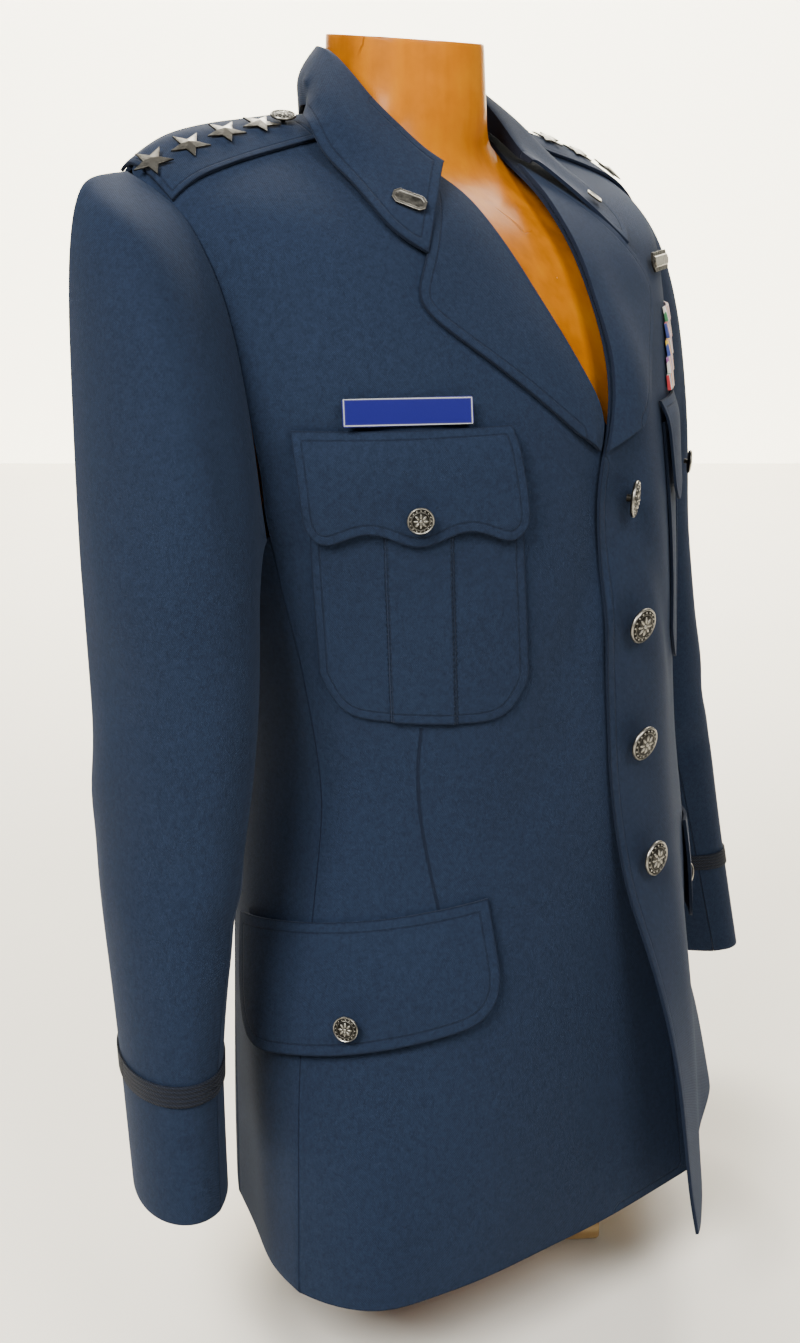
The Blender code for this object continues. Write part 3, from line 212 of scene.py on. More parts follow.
def mark_rim(piece):
    """Give the narrow faces round a piece's edge, between its two broad faces, material index 1."""
    mesh = piece.data
    tool = bmesh.new()
    tool.from_mesh(mesh)
    tool.faces.ensure_lookup_table()
    patch = [-1] * len(tool.faces)
    areas = []
    for start in tool.faces:
        if patch[start.index] >= 0:
            continue
        number = len(areas)
        areas.append(0.0)
        patch[start.index] = number
        queue = [start]
        while queue:
            face = queue.pop()
            areas[number] += face.calc_area()
            for side in face.edges:
                if len(side.link_faces) != 2:
                    continue
                if side.calc_face_angle() > math.radians(BROAD_FACE_ANGLE):
                    continue
                for other in side.link_faces:
                    if patch[other.index] < 0:
                        patch[other.index] = number
                        queue.append(other)
    broad = sorted(range(len(areas)), key=lambda k: -areas[k])[:2]
    for face in tool.faces:
        face.material_index = 0 if patch[face.index] in broad else 1
    tool.to_mesh(mesh)
    tool.free()


def mesh_points(piece):
    flat = np.empty(len(piece.data.vertices) * 3, dtype=np.float32)
    piece.data.vertices.foreach_get("co", flat)
    return flat.reshape(-1, 3).astype(float)


def mesh_normals(piece):
    flat = np.empty(len(piece.data.vertices) * 3, dtype=np.float32)
    piece.data.vertices.foreach_get("normal", flat)
    return flat.reshape(-1, 3).astype(float)


def move_points(piece, points):
    piece.data.vertices.foreach_set("co", points.astype(np.float32).ravel())
    piece.data.update()


def write_attribute(piece, name, values):
    made = piece.data.attributes.get(name) or piece.data.attributes.new(name, "FLOAT", "POINT")
    made.data.foreach_set("value", np.asarray(values, dtype=np.float32))


def read_attribute(piece, name):
    values = np.empty(len(piece.data.vertices), dtype=np.float32)
    piece.data.attributes[name].data.foreach_get("value", values)
    return values.astype(float)


def measure_edges(piece, is_stitched):
    """Write how far every point is from the piece's edge, and from the stitched part of that edge."""
    points = mesh_points(piece)
    rim = set()
    for face in piece.data.polygons:
        if face.material_index == 1:
            rim.update(face.vertices)
        face.material_index = 0
    rim = sorted(rim)
    centre = points.mean(axis=0)
    for label, chosen in (("seam_mm", rim), ("edge_mm", [k for k in rim if is_stitched(points[k])])):
        if not chosen:
            write_attribute(piece, label, [FAR_MM] * len(points))
            write_attribute(piece, "along_mm", [0.0] * len(points))
            continue
        tree = kdtree.KDTree(len(chosen))
        for k in chosen:
            tree.insert(points[k], k)
        tree.balance()
        found = [tree.find(p) for p in points]
        write_attribute(piece, label, np.array([f[2] for f in found]) / MM)
        nearest = points[[f[1] for f in found]]
        write_attribute(piece, "along_mm", (nearest - centre) @ STITCH_RUN / MM)


def crease_edges(piece, angle):
    """Hold every edge that turns by more than the angle sharp while the rest is curved. The short edges
    through the cloth's thickness stay soft unless they stand at a true corner. Returns points along the
    folds, the edges that turn by less than a corner."""
    tool = bmesh.new()
    tool.from_mesh(piece.data)
    creases = tool.edges.layers.float.new("crease_edge")
    folds = []
    for side in tool.edges:
        if len(side.link_faces) != 2:
            continue
        turn = math.degrees(side.calc_face_angle())
        if turn > (CORNER_ANGLE if side.calc_length() < THROUGH_CLOTH else angle):
            side[creases] = 1.0
            if turn < FOLD_ANGLE:
                start, end = (corner.co for corner in side.verts)
                folds += [start.lerp(end, k / FOLD_STEPS) for k in range(FOLD_STEPS + 1)]
    tool.to_mesh(piece.data)
    tool.free()
    return folds


def measure_folds(piece, folds):
    """Write how far every point is from the nearest fold."""
    if not folds:
        write_attribute(piece, "dart_mm", [FAR_MM] * len(piece.data.vertices))
        return
    tree = kdtree.KDTree(len(folds))
    for k, spot in enumerate(folds):
        tree.insert(spot, k)
    tree.balance()
    write_attribute(piece, "dart_mm", [tree.find(p)[2] / MM for p in mesh_points(piece)])


def cloth_piece(node_name, levels, is_stitched, rounding=0.0005, angle=50):
    """A cut piece of cloth on its CAD node's form: curved smooth, its cut edges measured and rounded."""
    piece = copied_node(node_name, node_name + "_cloth")
    mark_rim(piece)
    folds = crease_edges(piece, angle)
    add_modifier(piece, "SUBSURF", levels=levels, render_levels=levels)
    measure_edges(piece, is_stitched)
    measure_folds(piece, folds)
    add_modifier(piece, "BEVEL", width=rounding, segments=2, limit_method="ANGLE",
                 angle_limit=math.radians(50))
    activate(piece)
    bpy.ops.object.shade_smooth_by_angle(angle=math.radians(38))
    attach(piece, "root")
    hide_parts(node_name)
    return piece


def body_out(points):
    """Level way outwards from the middle of the body."""
    way = points - np.array(BODY_MIDDLE)
    way[:, 2] = 0.0
    return way / np.maximum(np.linalg.norm(way, axis=1, keepdims=True), 1e-6)


# Soft creases in the body, in mm: start, end, half width and how far they stand out. A hollow is negative.
CREASE_COLUMNS = ("start", "end", "width", "out")
BODY_CREASES = (
    ((-12, -170, 520), (-70, -168, 400), 15, -2.6),
    ((-10, -176, 500), (-40, -182, 390), 9, 1.7),
    ((-20, -178, 440), (-95, -160, 330), 16, -1.9),
    ((-100, -150, 470), (-60, -172, 380), 18, 1.4),
    ((-150, -105, 400), (-165, -60, 330), 20, -3.2),
    ((-175, -60, 420), (-178, -20, 350), 15, 2.0),
    ((-120, -140, 300), (-60, -180, 250), 22, -1.4),
    ((-185, -70, 520), (-205, -10, 470), 14, -2.6),
    ((-160, -100, 580), (-195, -35, 545), 16, -2.0),
    ((14, -170, 520), (80, -160, 400), 15, -2.3),
    ((150, -105, 400), (160, -60, 330), 20, -2.9),
    ((180, -60, 520), (200, 0, 470), 14, -2.3),
    ((-60, 110, 640), (-110, 105, 560), 22, -2.3),
    ((60, 125, 640), (110, 115, 560), 22, -2.3),
    ((-100, 100, 390), (100, 105, 380), 20, -2.6),
    ((-70, 108, 430), (60, 110, 440), 15, 1.4),
    ((-190, 20, 560), (-150, 80, 500), 16, -2.3),
    ((190, 30, 560), (150, 90, 500), 16, -2.3),
)


def crease(points, way, table):
    """Press the table's creases into points, each moved along its own way out."""
    points = points.copy()
    for row in table:
        fold = dict(zip(CREASE_COLUMNS, row))
        start, end = np.array(fold["start"]) * MM, np.array(fold["end"]) * MM
        run = end - start
        share = np.clip((points - start) @ run / (run @ run), 0, 1)
        away = np.linalg.norm(points - (start + share[:, None] * run), axis=1) / (fold["width"] * MM)
        strength = np.exp(-away ** 2) * (0.35 + 0.65 * np.sin(np.pi * (0.1 + 0.8 * share)))
        points += way * (fold["out"] * MM * strength)[:, None]
    return points


def sink_seams(piece):
    """The cloth rolls down into the seam along the piece's edges."""
    roll = np.exp(-(read_attribute(piece, "seam_mm") * MM / SEAM_WIDTH) ** 2) * SEAM_SINK
    points = mesh_points(piece)
    out = body_out(points)
    facing_out = np.clip((mesh_normals(piece) * out).sum(axis=1), 0, 1)
    move_points(piece, points - out * (roll * facing_out)[:, None])


DART_REACH, DART_OVERLAP = 0.045, 0.001


def dart_distance(points, line):
    """Signed distance in mm from a dart's stitched line, far away past its ends."""
    line = np.array(line) * MM
    best = np.full(len(points), FAR_MM)
    for a, b in zip(line[:-1], line[1:]):
        run = (b - a)[[0, 2]]
        rel = points[:, [0, 2]] - a[[0, 2]]
        share = (rel @ run) / (run @ run)
        signed = (rel[:, 0] * run[1] - rel[:, 1] * run[0]) / np.linalg.norm(run) / MM
        near = np.abs(points[:, 1] - (a[1] + b[1]) / 2) < DART_REACH
        inside = (share > -DART_OVERLAP) & (share <= 1 + DART_OVERLAP) & near
        best = np.where(inside, signed, best)
    return best


def always(point):
    return True


def never(point):
    return False


FRONT_EDGE_REACH, ROLL_START = 0.034, 0.556


def on_front_edge(point):
    """The fronts' free edge, near the middle and below where the lapels roll back."""
    return abs(point[0]) < FRONT_EDGE_REACH and point[2] < ROLL_START


panel_serge = serge("panel_serge", marks=True)
body_pieces = []
# Each panel's flat width and length in metres, and its area in square metres.
PANEL_CUTS = {
    "front": ((0.30, 0.71), 0.173), "side": ((0.12, 0.46), 0.045), "back": ((0.24, 0.71), 0.136),
}
# The front darts' sewn lines, from top to bottom in mm.
DARTS = {
    "front_right": ((-129, -122, 407), (-131, -128, 380), (-132, -134, 350), (-133, -140, 290)),
    "front_left": ((129, -110, 407), (131, -114, 380), (132, -118, 350), (133, -120, 290)),
}
for part, (cut, cut_area) in PANEL_CUTS.items():
    for side in ("right", "left"):
        node_name = f"{part}_{side}"
        piece = cloth_piece(node_name, 3, on_front_edge if part == "front" else never)
        sink_seams(piece)
        points = mesh_points(piece)
        if node_name in DARTS:
            write_attribute(piece, "dart_mm", dart_distance(points, DARTS[node_name]))
        move_points(piece, crease(points, body_out(points), BODY_CREASES))
        piece.data.materials.append(panel_serge)
        body_pieces.append(piece)

# Sleeves: each of a top and an under piece, set into the armhole with a full smooth head, and joined by an
# elbow seam and an inner seam. They hang open at the cuff and break softly at the elbow.
SLEEVE_CREASES = (
    ((-285, -70, 330), (-215, -45, 350), 17, -3.4),
    ((-290, -40, 300), (-225, -60, 312), 12, 2.1),
    ((-262, -85, 300), (-222, -70, 290), 13, -2.9),
    ((-280, 10, 470), (-255, -60, 400), 24, -1.8),
    ((-290, -30, 560), (-262, -60, 500), 22, -1.6),
    ((-235, -75, 600), (-222, -70, 520), 13, -2.3),
    ((-240, 40, 420), (-225, 50, 330), 18, -2.6),
    ((-285, -5, 390), (-262, 40, 340), 18, 2.1),
    ((285, -40, 320), (220, -20, 340), 17, -3.4),
    ((290, -10, 290), (225, -30, 302), 12, 2.1),
    ((262, -50, 290), (222, -40, 282), 13, -2.9),
    ((280, 40, 460), (255, -30, 390), 24, -1.8),
    ((235, -45, 600), (222, -40, 520), 13, -2.3),
    ((240, 80, 420), (225, 85, 330), 18, -2.6),
)
CUFF_HEIGHT, LOWER_ARM = 0.12, 0.35
CUFF_MIDDLE, LEFT_SET_BACK = (0.268, -0.040), 0.032
CAP_START, CAP_FADE = 0.70, 0.10
SLEEVE_CUTS = {"top": ((0.20, 0.63), 0.083), "under": ((0.20, 0.60), 0.081)}
sleeve_serge = serge("sleeve_serge")


def sleeve_out(points):
    """Level way outwards from the middle line of the sleeve, which runs from the cuff up to the elbow and
    on. The left one hangs farther back."""
    side = 1.0 if points[:, 0].mean() > 0 else -1.0
    height = np.clip((points[:, 2] - CUFF_HEIGHT) / LOWER_ARM, 0, 1)
    across = side * (CUFF_MIDDLE[0] - 0.040 * height)
    back = CUFF_MIDDLE[1] + 0.042 * height + LEFT_SET_BACK * (1 + side) / 2
    axis = np.stack((across, back, points[:, 2]), axis=1)
    way = points - axis
    way[:, 2] = 0
    return way / np.maximum(np.linalg.norm(way, axis=1, keepdims=True), 1e-6)


for part, (cut, cut_area) in SLEEVE_CUTS.items():
    for side in ("right", "left"):
        piece = cloth_piece(f"sleeve_{part}_{side}", 3, never)
        points = mesh_points(piece)
        below_cap = np.clip((CAP_START - points[:, 2]) / CAP_FADE, 0, 1)
        moved = crease(points, sleeve_out(points), SLEEVE_CREASES)
        move_points(piece, points + (moved - points) * below_cap[:, None])
        piece.data.materials.append(sleeve_serge)

# Braid: a ribbed band of dark blue mohair sewn flat round each sleeve above the cuff.
BRAID_SHADED, BRAID_LIT = (0.0010, 0.0015, 0.0035, 1.0), (0.0070, 0.0110, 0.0230, 1.0)
BRAID_ROW_MM, BRAID_RIB_MM = 2.6, 1.5
CUFF_RADIUS_MM = 40.0


def braid_weave():
    made, place, shader = start_material("braid_weave", Roughness=0.8, Sheen_Weight=0.03)
    shader.inputs["Specular IOR Level"].default_value = 0.2
    around, down = attribute(place, "around_mm"), attribute(place, "down_mm")
    rows = down.wave(BRAID_ROW_MM) * 0.5 + 0.5
    slant = around + down * 0.9
    ribs = slant.wave(BRAID_RIB_MM) * 0.5 + 0.5
    # Painted shade: the braid is darker in the grooves between its rows and ribs and lighter on their
    # crests, following its height.
    relief_and_painted_shade = rows * 0.5 + ribs * 0.5
    finish_material(shader, place, relief_and_painted_shade.tint(BRAID_SHADED, BRAID_LIT), height=relief_and_painted_shade * 0.5)
    return made


SEAT_GAP, SEAT_SEARCH = 0.00025, 0.012
OUTER_FACING, UPWARD_SHARE, RIM_MM = 0.25, 0.6, 0.6
FACING_FADE = 0.6


def seat_over(piece, bases, thickness, reach=0.002, press=None):
    """Lift a piece where it would touch the outer face of the cloth under it, keeping its own thickness.
    Where press is 1 it is also pressed down onto that cloth."""
    trees = []
    for base in bases:
        tool = bmesh.new()
        tool.from_mesh(base.data)
        seam = base.data.attributes["seam_mm"].data
        edge = [seam[v.index].value < RIM_MM for v in tool.verts]
        centres = np.array([f.calc_center_median() for f in tool.faces])
        away = body_out(centres) + np.array((0.0, 0.0, UPWARD_SHARE))
        spare = [f for f, out in zip(tool.faces, away)
                 if f.normal.dot(Vector(out)) < OUTER_FACING or any(edge[v.index] for v in f.verts)]
        bmesh.ops.delete(tool, geom=spare, context="FACES")
        trees.append(BVHTree.FromBMesh(tool))
        tool.free()
    points, normals = mesh_points(piece), mesh_normals(piece)
    moved = points.copy()
    for k, p in enumerate(points):
        found = [tree.find_nearest(Vector(p), SEAT_SEARCH) for tree in trees]
        found = [f for f in found if f[0] is not None]
        if not found:
            continue
        spot, normal, _, distance = min(found, key=lambda f: f[3])
        normal = np.array(normal)
        rel = p - np.array(spot)
        height = rel @ normal
        if np.linalg.norm(rel - height * normal) > reach:
            continue
        share = min(max((normals[k] @ normal + FACING_FADE) / (2 * FACING_FADE), 0.0), 1.0)
        wanted = SEAT_GAP + thickness * share
        if height < wanted:
            moved[k] = p + normal * (wanted - height)
        elif press is not None:
            moved[k] = p + normal * (wanted - height) * press[k]
    move_points(piece, moved)


braid_finish = braid_weave()
for side in ("right", "left"):
    piece = cloth_piece("sleeve_braid_" + side, 2, always, rounding=0.0002)
    points = mesh_points(piece)
    around = np.arctan2(points[:, 1] - points[:, 1].mean(), points[:, 0] - points[:, 0].mean())
    write_attribute(piece, "around_mm", around * CUFF_RADIUS_MM)
    write_attribute(piece, "down_mm", points[:, 2] / MM)
    move_points(piece, crease(points, sleeve_out(points), SLEEVE_CREASES))
    piece.data.materials.append(braid_finish)

# Lapels: the fronts turned back from the roll line, pressed flat at the free edge and full at the roll.
# The free edge is stitched 6 mm in.
lapel_serge = serge("lapel_serge")
ROLL_HEIGHTS = (0.561, 0.600, 0.640, 0.680, 0.728)
ROLL_FROM_MIDDLE = (0.016, 0.022, 0.030, 0.040, 0.060)
ROLL_CLEAR = 0.012


def lapel_free_edge(point):
    """All of the lapel's edge but its roll."""
    return abs(point[0]) > np.interp(point[2], ROLL_HEIGHTS, ROLL_FROM_MIDDLE) + ROLL_CLEAR


for side in ("right", "left"):
    piece = cloth_piece("lapel_" + side, 3, lapel_free_edge)
    points = mesh_points(piece)
    move_points(piece, crease(points, body_out(points), BODY_CREASES))
    piece.data.materials.append(lapel_serge)
    seat_over(piece, [p for p in body_pieces if p.name == f"front_{side}_cloth"], CLOTH)

# Patch pockets on the chest, with a box pleat pressed down the middle, rounded lower corners and a
# flap cut to a soft point in the middle, all of the same serge pressed thinner and stitched 5.5 mm in.
POCKET_CLOTH = 0.0018
PLEAT_ANGLE = 24
pocket_serge = serge("pocket_serge", stitch_mm=5.5)
pleat_serge = serge("pleat_serge", stitch_mm=5.5, marks=True)
for side in ("right", "left"):
    under = [p for p in body_pieces if p.name in (f"front_{side}_cloth", f"side_{side}_cloth")]
    pocket = cloth_piece("chest_pocket_" + side, 3, always, rounding=0.0003, angle=PLEAT_ANGLE)
    points = mesh_points(pocket)
    move_points(pocket, crease(points, body_out(points), BODY_CREASES))
    seat_over(pocket, under, POCKET_CLOTH)
    pocket.data.materials.append(pleat_serge)
    flap = cloth_piece("chest_flap_" + side, 3, always)
    points = mesh_points(flap)
    move_points(flap, crease(points, body_out(points), BODY_CREASES))
    seat_over(flap, [pocket] + under, POCKET_CLOTH)
    flap.data.materials.append(pocket_serge)

# Lower pocket flaps: wide, rounded below, sewn in along their slanted top, stitched 6.5 mm in.
lower_serge = serge("lower_serge", stitch_mm=6.5)
for side in ("right", "left"):
    under = [p for p in body_pieces if p.name in (f"front_{side}_cloth", f"side_{side}_cloth")]
    piece = cloth_piece("lower_flap_" + side, 3, always)
    points = mesh_points(piece)
    move_points(piece, crease(points, body_out(points), BODY_CREASES))
    seat_over(piece, under, CLOTH)
    piece.data.materials.append(lower_serge)

# Shoulder straps: sewn into the sleeve seam, buttoned by the collar, stitched 4 mm in round their edge.
# Their outer end is drawn out over the seam and pressed down.
STRAP_SEWN_FROM, STRAP_SEWN_FADE = 0.172, 0.024
STRAP_DRAWN = 0.0035
strap_serge = serge("strap_serge", stitch_mm=4.0)
for side in ("right", "left"):
    under = [p for p in body_pieces if p.name in (f"front_{side}_cloth", f"back_{side}_cloth")]
    piece = cloth_piece("strap_" + side, 3, always)
    points = mesh_points(piece)
    sewn = np.clip((np.abs(points[:, 0]) - STRAP_SEWN_FROM) / STRAP_SEWN_FADE, 0, 1)
    points[:, 0] += np.sign(points[:, 0]) * STRAP_DRAWN * sewn
    move_points(piece, points)
    seat_over(piece, under, CLOTH, reach=0.006, press=sewn)
    piece.data.materials.append(strap_serge)

# Collar: stand and fall in one, rolled over at the neck, its free edge stitched 6 mm in.
collar_serge = serge("collar_serge")
NECK_MIDDLE_Y, NECK_REACH = 0.03, 0.083
COLLAR_FRONT_Y, COLLAR_FRONT_REACH = -0.05, 0.062


def collar_free_edge(point):
    """The fall's outer edge, away from the neck and round its front corners."""
    if point[1] < COLLAR_FRONT_Y and abs(point[0]) > COLLAR_FRONT_REACH:
        return True
    return math.hypot(point[0], point[1] - NECK_MIDDLE_Y) > NECK_REACH


collar = cloth_piece("collar", 3, collar_free_edge)
collar.data.materials.append(collar_serge)

# Silver buttons: stamped domes with a raised rim, a ring of beads and a plain rosette, oxidised dark in the
# hollows, each on a short shank sewn through the cloth.
BUTTON_RADIUS = 0.0114
BUTTON_RIM_DEPTH, STRAP_BUTTON_SUNK = 0.0035, 0.0018
SILVER_BRIGHT, SILVER_DARK = (0.27, 0.258, 0.228, 1.0), (0.016, 0.015, 0.013, 1.0)
BUTTON_SIDES = 48
BEADS, PETALS = 16, 8


def old_silver(name, worn):
    """Silver rubbed bright where it stands proud and dark where polish never reaches."""
    made, place, shader = start_material(name, Metallic=1.0)
    proud = attribute(place, "proud")
    blotch = place.node("TexNoise", {}, {"Vector": place, "Scale": 260.0, "Detail": 4.0})
    scratch = place.node("TexNoise", {}, {"Vector": place, "Scale": 1400.0, "Detail": 2.0})
    bright = (proud + blotch * 0.5 - worn).rises(0.0, 0.45)
    rough = 0.50 - bright * 0.20 + scratch * 0.06
    finish_material(shader, place, bright.tint(SILVER_DARK, SILVER_BRIGHT), roughness=rough,
                    height=scratch * 0.03 + blotch * 0.05)
    return made


def node_frame(node_name):
    """Centre, way out and longest level way of a small node lying on the cloth."""
    flat = np.array([v.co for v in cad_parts[node_name].data.vertices], dtype=float)
    centre = flat.mean(axis=0)
    spread = np.linalg.svd(flat - centre, full_matrices=False)[2]
    out = spread[2]
    if out @ body_out(centre[None, :])[0] + out[2] * (1.5 if centre[2] > 0.72 else 0.2) < 0:
        out = -out
    return centre, out, spread[0], flat


def placed(piece, centre, out, up):
    """Put a piece made flat at the origin, facing +Z, where its node lies, with +Y as near up as can be."""
    z = Vector(out).normalized()
    y = Vector(up)
    y = (y - z * y.dot(z)).normalized()
    turn = Matrix((y.cross(z), y, z)).transposed().to_4x4()
    turn.translation = Vector(centre)
    piece.data.transform(turn)
    piece.data.update()


def joined(pieces, name):
    """All the pieces as one object, kept in the first."""
    activate(pieces[0])
    for one in pieces[1:]:
        one.select_set(True)
    bpy.ops.object.join()
    pieces[0].name = name
    pieces[0].data.name = name
    return pieces[0]


def lathe(name, profile, sides):
    """A closed turned solid from (radius, height) pairs, first and last on the axis."""
    mesh = bpy.data.meshes.new(name)
    mesh.from_pydata([(r, 0.0, h) for r, h in profile], [(k, k + 1) for k in range(len(profile) - 1)], [])
    made = bpy.data.objects.new(name, mesh)
    bpy.context.scene.collection.objects.link(made)
    activate(made)
    bpy.ops.object.mode_set(mode="EDIT")
    bpy.ops.mesh.select_all(action="SELECT")
    bpy.ops.mesh.spin(steps=sides, angle=2 * math.pi, center=(0, 0, 0), axis=(0, 0, 1))
    bpy.ops.mesh.select_all(action="SELECT")
    bpy.ops.mesh.remove_doubles(threshold=0.000005)
    bpy.ops.mesh.normals_make_consistent(inside=False)
    bpy.ops.object.mode_set(mode="OBJECT")
    return made


def button_pattern(radius):
    """One button face up at the origin: dome, rim, beads and rosette."""
    r = radius
    profile = [(0.0, -0.30), (0.20, -0.30), (0.20, 0.02), (0.90, 0.04), (0.985, 0.10), (1.0, 0.17),
               (0.985, 0.23), (0.94, 0.27), (0.885, 0.25), (0.86, 0.215), (0.70, 0.262), (0.655, 0.285),
               (0.62, 0.262), (0.40, 0.315), (0.0, 0.35)]
    parts = [lathe("button_dome", [(a * r, b * r) for a, b in profile], BUTTON_SIDES)]
    for k in range(BEADS):
        turn = 2 * math.pi * k / BEADS
        spot = (0.775 * r * math.cos(turn), 0.775 * r * math.sin(turn), 0.25 * r)
        bpy.ops.mesh.primitive_uv_sphere_add(segments=8, ring_count=6, radius=0.062 * r, location=spot)
        parts.append(bpy.context.active_object)
    for k in range(PETALS):
        turn = 2 * math.pi * k / PETALS
        spot = (0.34 * r * math.cos(turn), 0.34 * r * math.sin(turn), 0.30 * r)
        bpy.ops.mesh.primitive_uv_sphere_add(segments=10, ring_count=6, radius=0.14 * r, location=spot,
                                             scale=(1.55, 0.62, 0.50), rotation=(0, 0, turn))
        parts.append(bpy.context.active_object)
    bpy.ops.mesh.primitive_uv_sphere_add(segments=12, ring_count=8, radius=0.13 * r,
                                         location=(0, 0, 0.34 * r), scale=(1, 1, 0.6))
    parts.append(bpy.context.active_object)
    for part in parts[1:]:
        activate(part)
        bpy.ops.object.transform_apply(location=True, rotation=True, scale=True)
    made = joined(parts, "button_pattern")
    points = mesh_points(made)
    reach = np.hypot(points[:, 0], points[:, 1]) / r
    ground = np.interp(reach, (0.0, 0.40, 0.62, 0.655, 0.70, 0.86, 0.885, 0.94, 1.0),
                       (0.335, 0.300, 0.255, 0.262, 0.250, 0.205, 0.215, 0.215, 0.14))
    write_attribute(made, "proud", np.clip((points[:, 2] / r - ground) / 0.055, 0, 1))
    return made


silver_worn = old_silver("silver_worn", worn=0.42)


def lay_button(pattern, node_name):
    """A copy of the pattern on a button's node, at its size and facing its way."""
    made = pattern.copy()
    made.data = pattern.data.copy()
    bpy.context.scene.collection.objects.link(made)
    made.name = node_name + "_face"
    made.data.name = made.name
    centre, out, _, flat = node_frame(node_name)
    height = (flat - centre) @ out
    rim_centre = flat[height > height.max() - BUTTON_RIM_DEPTH].mean(axis=0)
    middle = rim_centre - out * ((rim_centre - centre) @ out) + out * height.max()
    radius = np.linalg.norm((flat - middle) - ((flat - middle) @ out)[:, None] * out, axis=1).max()
    made.data.transform(Matrix.Scale(radius / BUTTON_RADIUS, 4))
    sunk = STRAP_BUTTON_SUNK if "strap" in node_name else 0.0
    placed(made, middle - out * (0.30 * radius + sunk), out, (0, 0, 1) if abs(out[2]) < 0.9 else (1, 0, 0))
    activate(made)
    bpy.ops.object.shade_smooth_by_angle(angle=math.radians(35))
    made.data.materials.append(silver_worn)
    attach(made, "root")
    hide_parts(node_name)


pattern = button_pattern(BUTTON_RADIUS)
button_nodes = [f"front_button_{k}" for k in (1, 2, 3, 4)]
for side in ("right", "left"):
    button_nodes += ["chest_button_" + side, "lower_button_" + side, "strap_button_" + side]
for node_name in button_nodes:
    lay_button(pattern, node_name)
bpy.data.objects.remove(pattern)

# Stars: four faceted silver stars in a row on each strap, one point towards the sleeve, held by pins
# through the cloth.
star_silver = old_silver("star_silver", worn=0.55)


def measure_rise(piece, node_name, low, high):
    """Write how far out every point stands, from low at the piece's back to high at its front."""
    centre, out, _, _ = node_frame(node_name)
    height = (mesh_points(piece) - centre) @ out
    share = (height - height.min()) / (height.max() - height.min())
    write_attribute(piece, "proud", low + (high - low) * share)


for side in ("right", "left"):
    for k in (1, 2, 3, 4):
        node_name = f"star_{side}_{k}"
        made = copied_node(node_name, node_name + "_bright")
        add_modifier(made, "BEVEL", width=0.00022, segments=2, limit_method="ANGLE",
                     angle_limit=math.radians(12))
        measure_rise(made, node_name, 0.25, 0.90)
        made.data.materials.append(star_silver)
        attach(made, "root")
        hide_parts(node_name)

# Small trim: bare bar pins on the collar and a plain badge on the left breast, stamped in silver.
for node_name in ("collar_pin_right", "collar_pin_left", "chest_badge"):
    made = copied_node(node_name, node_name + "_stamped")
    add_modifier(made, "BEVEL", width=0.00030, segments=2, limit_method="ANGLE",
                 angle_limit=math.radians(20))
    measure_rise(made, node_name, 0.10, 0.65)
    made.data.materials.append(star_silver)
    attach(made, "root")
    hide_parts(node_name)

# Name plate: a blue plastic bar with a white line round its edge, left bare of lettering.
PLATE_BLUE, PLATE_WHITE = (0.0004, 0.0002, 0.105, 1.0), (0.34, 0.35, 0.36, 1.0)
PLATE_LINE_MM, PLATE_LINE_HALF_MM = 0.9, 0.28


def plate_finish(half_length, half_width):
    """Blue plastic with its white line, placed by how far each spot is from the nearest edge in mm."""
    made, place, shader = start_material("plate_finish", Roughness=0.33)
    shader.inputs["Specular IOR Level"].default_value = 0.2
    along, across = attribute(place, "along_mm"), attribute(place, "across_mm")
    to_end = half_length - along.math("ABSOLUTE")
    to_side = half_width - across.math("ABSOLUTE")
    border = to_end.math("MINIMUM", to_side)
    grain = place.node("TexNoise", {}, {"Vector": place, "Scale": 900.0, "Detail": 2.0})
    line = border.line(PLATE_LINE_MM, PLATE_LINE_HALF_MM)
    finish_material(shader, place, line.tint(PLATE_BLUE, PLATE_WHITE), roughness=grain * 0.15 + 0.35,
                    height=grain * 0.03 - line * 0.1)
    return made


plate = copied_node("name_plate", "name_plate_bar")
centre, out, along, _ = node_frame("name_plate")
across = np.cross(out, along)
add_modifier(plate, "BEVEL", width=0.00025, segments=2, limit_method="ANGLE", angle_limit=math.radians(40))
points = mesh_points(plate)
along_mm, across_mm = (points - centre) @ along / MM, (points - centre) @ across / MM
write_attribute(plate, "along_mm", along_mm)
write_attribute(plate, "across_mm", across_mm)
plate.data.materials.append(plate_finish(float(np.abs(along_mm).max()), float(np.abs(across_mm).max())))
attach(plate, "root")
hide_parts("name_plate")

# Ribbon rack: five rows of ribbon bars in plain invented stripes, pinned over the left pocket.
RIBBON_ROW_MM, RIBBON_BAR_MM, RIBBON_RIB_MM = 10.4, 35.0, 0.7
RIBBON_SHIFT = 0.37
RIBBON_STOPS = [
    (0.0, (0.45, 0.02, 0.03, 1)), (0.10, (0.75, 0.72, 0.66, 1)), (0.16, (0.04, 0.07, 0.30, 1)),
    (0.30, (0.80, 0.55, 0.06, 1)), (0.36, (0.45, 0.02, 0.03, 1)), (0.50, (0.05, 0.22, 0.09, 1)),
    (0.60, (0.78, 0.76, 0.70, 1)), (0.66, (0.30, 0.10, 0.30, 1)), (0.80, (0.80, 0.50, 0.05, 1)),
    (0.88, (0.03, 0.05, 0.22, 1)),
]


def ribbon_weave():
    made, place, shader = start_material("ribbon_weave", Roughness=0.6, Sheen_Weight=0.2)
    along, up = attribute(place, "along_mm"), attribute(place, "up_mm")
    row = (up / RIBBON_ROW_MM).math("FLOOR")
    share = (along / RIBBON_BAR_MM + row * RIBBON_SHIFT).math("FRACT")
    colour = share.node("ValToRGB", {"stops": RIBBON_STOPS}, {0: share})
    colour.out.node.color_ramp.interpolation = "CONSTANT"
    finish_material(shader, place, colour, height=up.wave(RIBBON_RIB_MM) * 0.05)
    return made


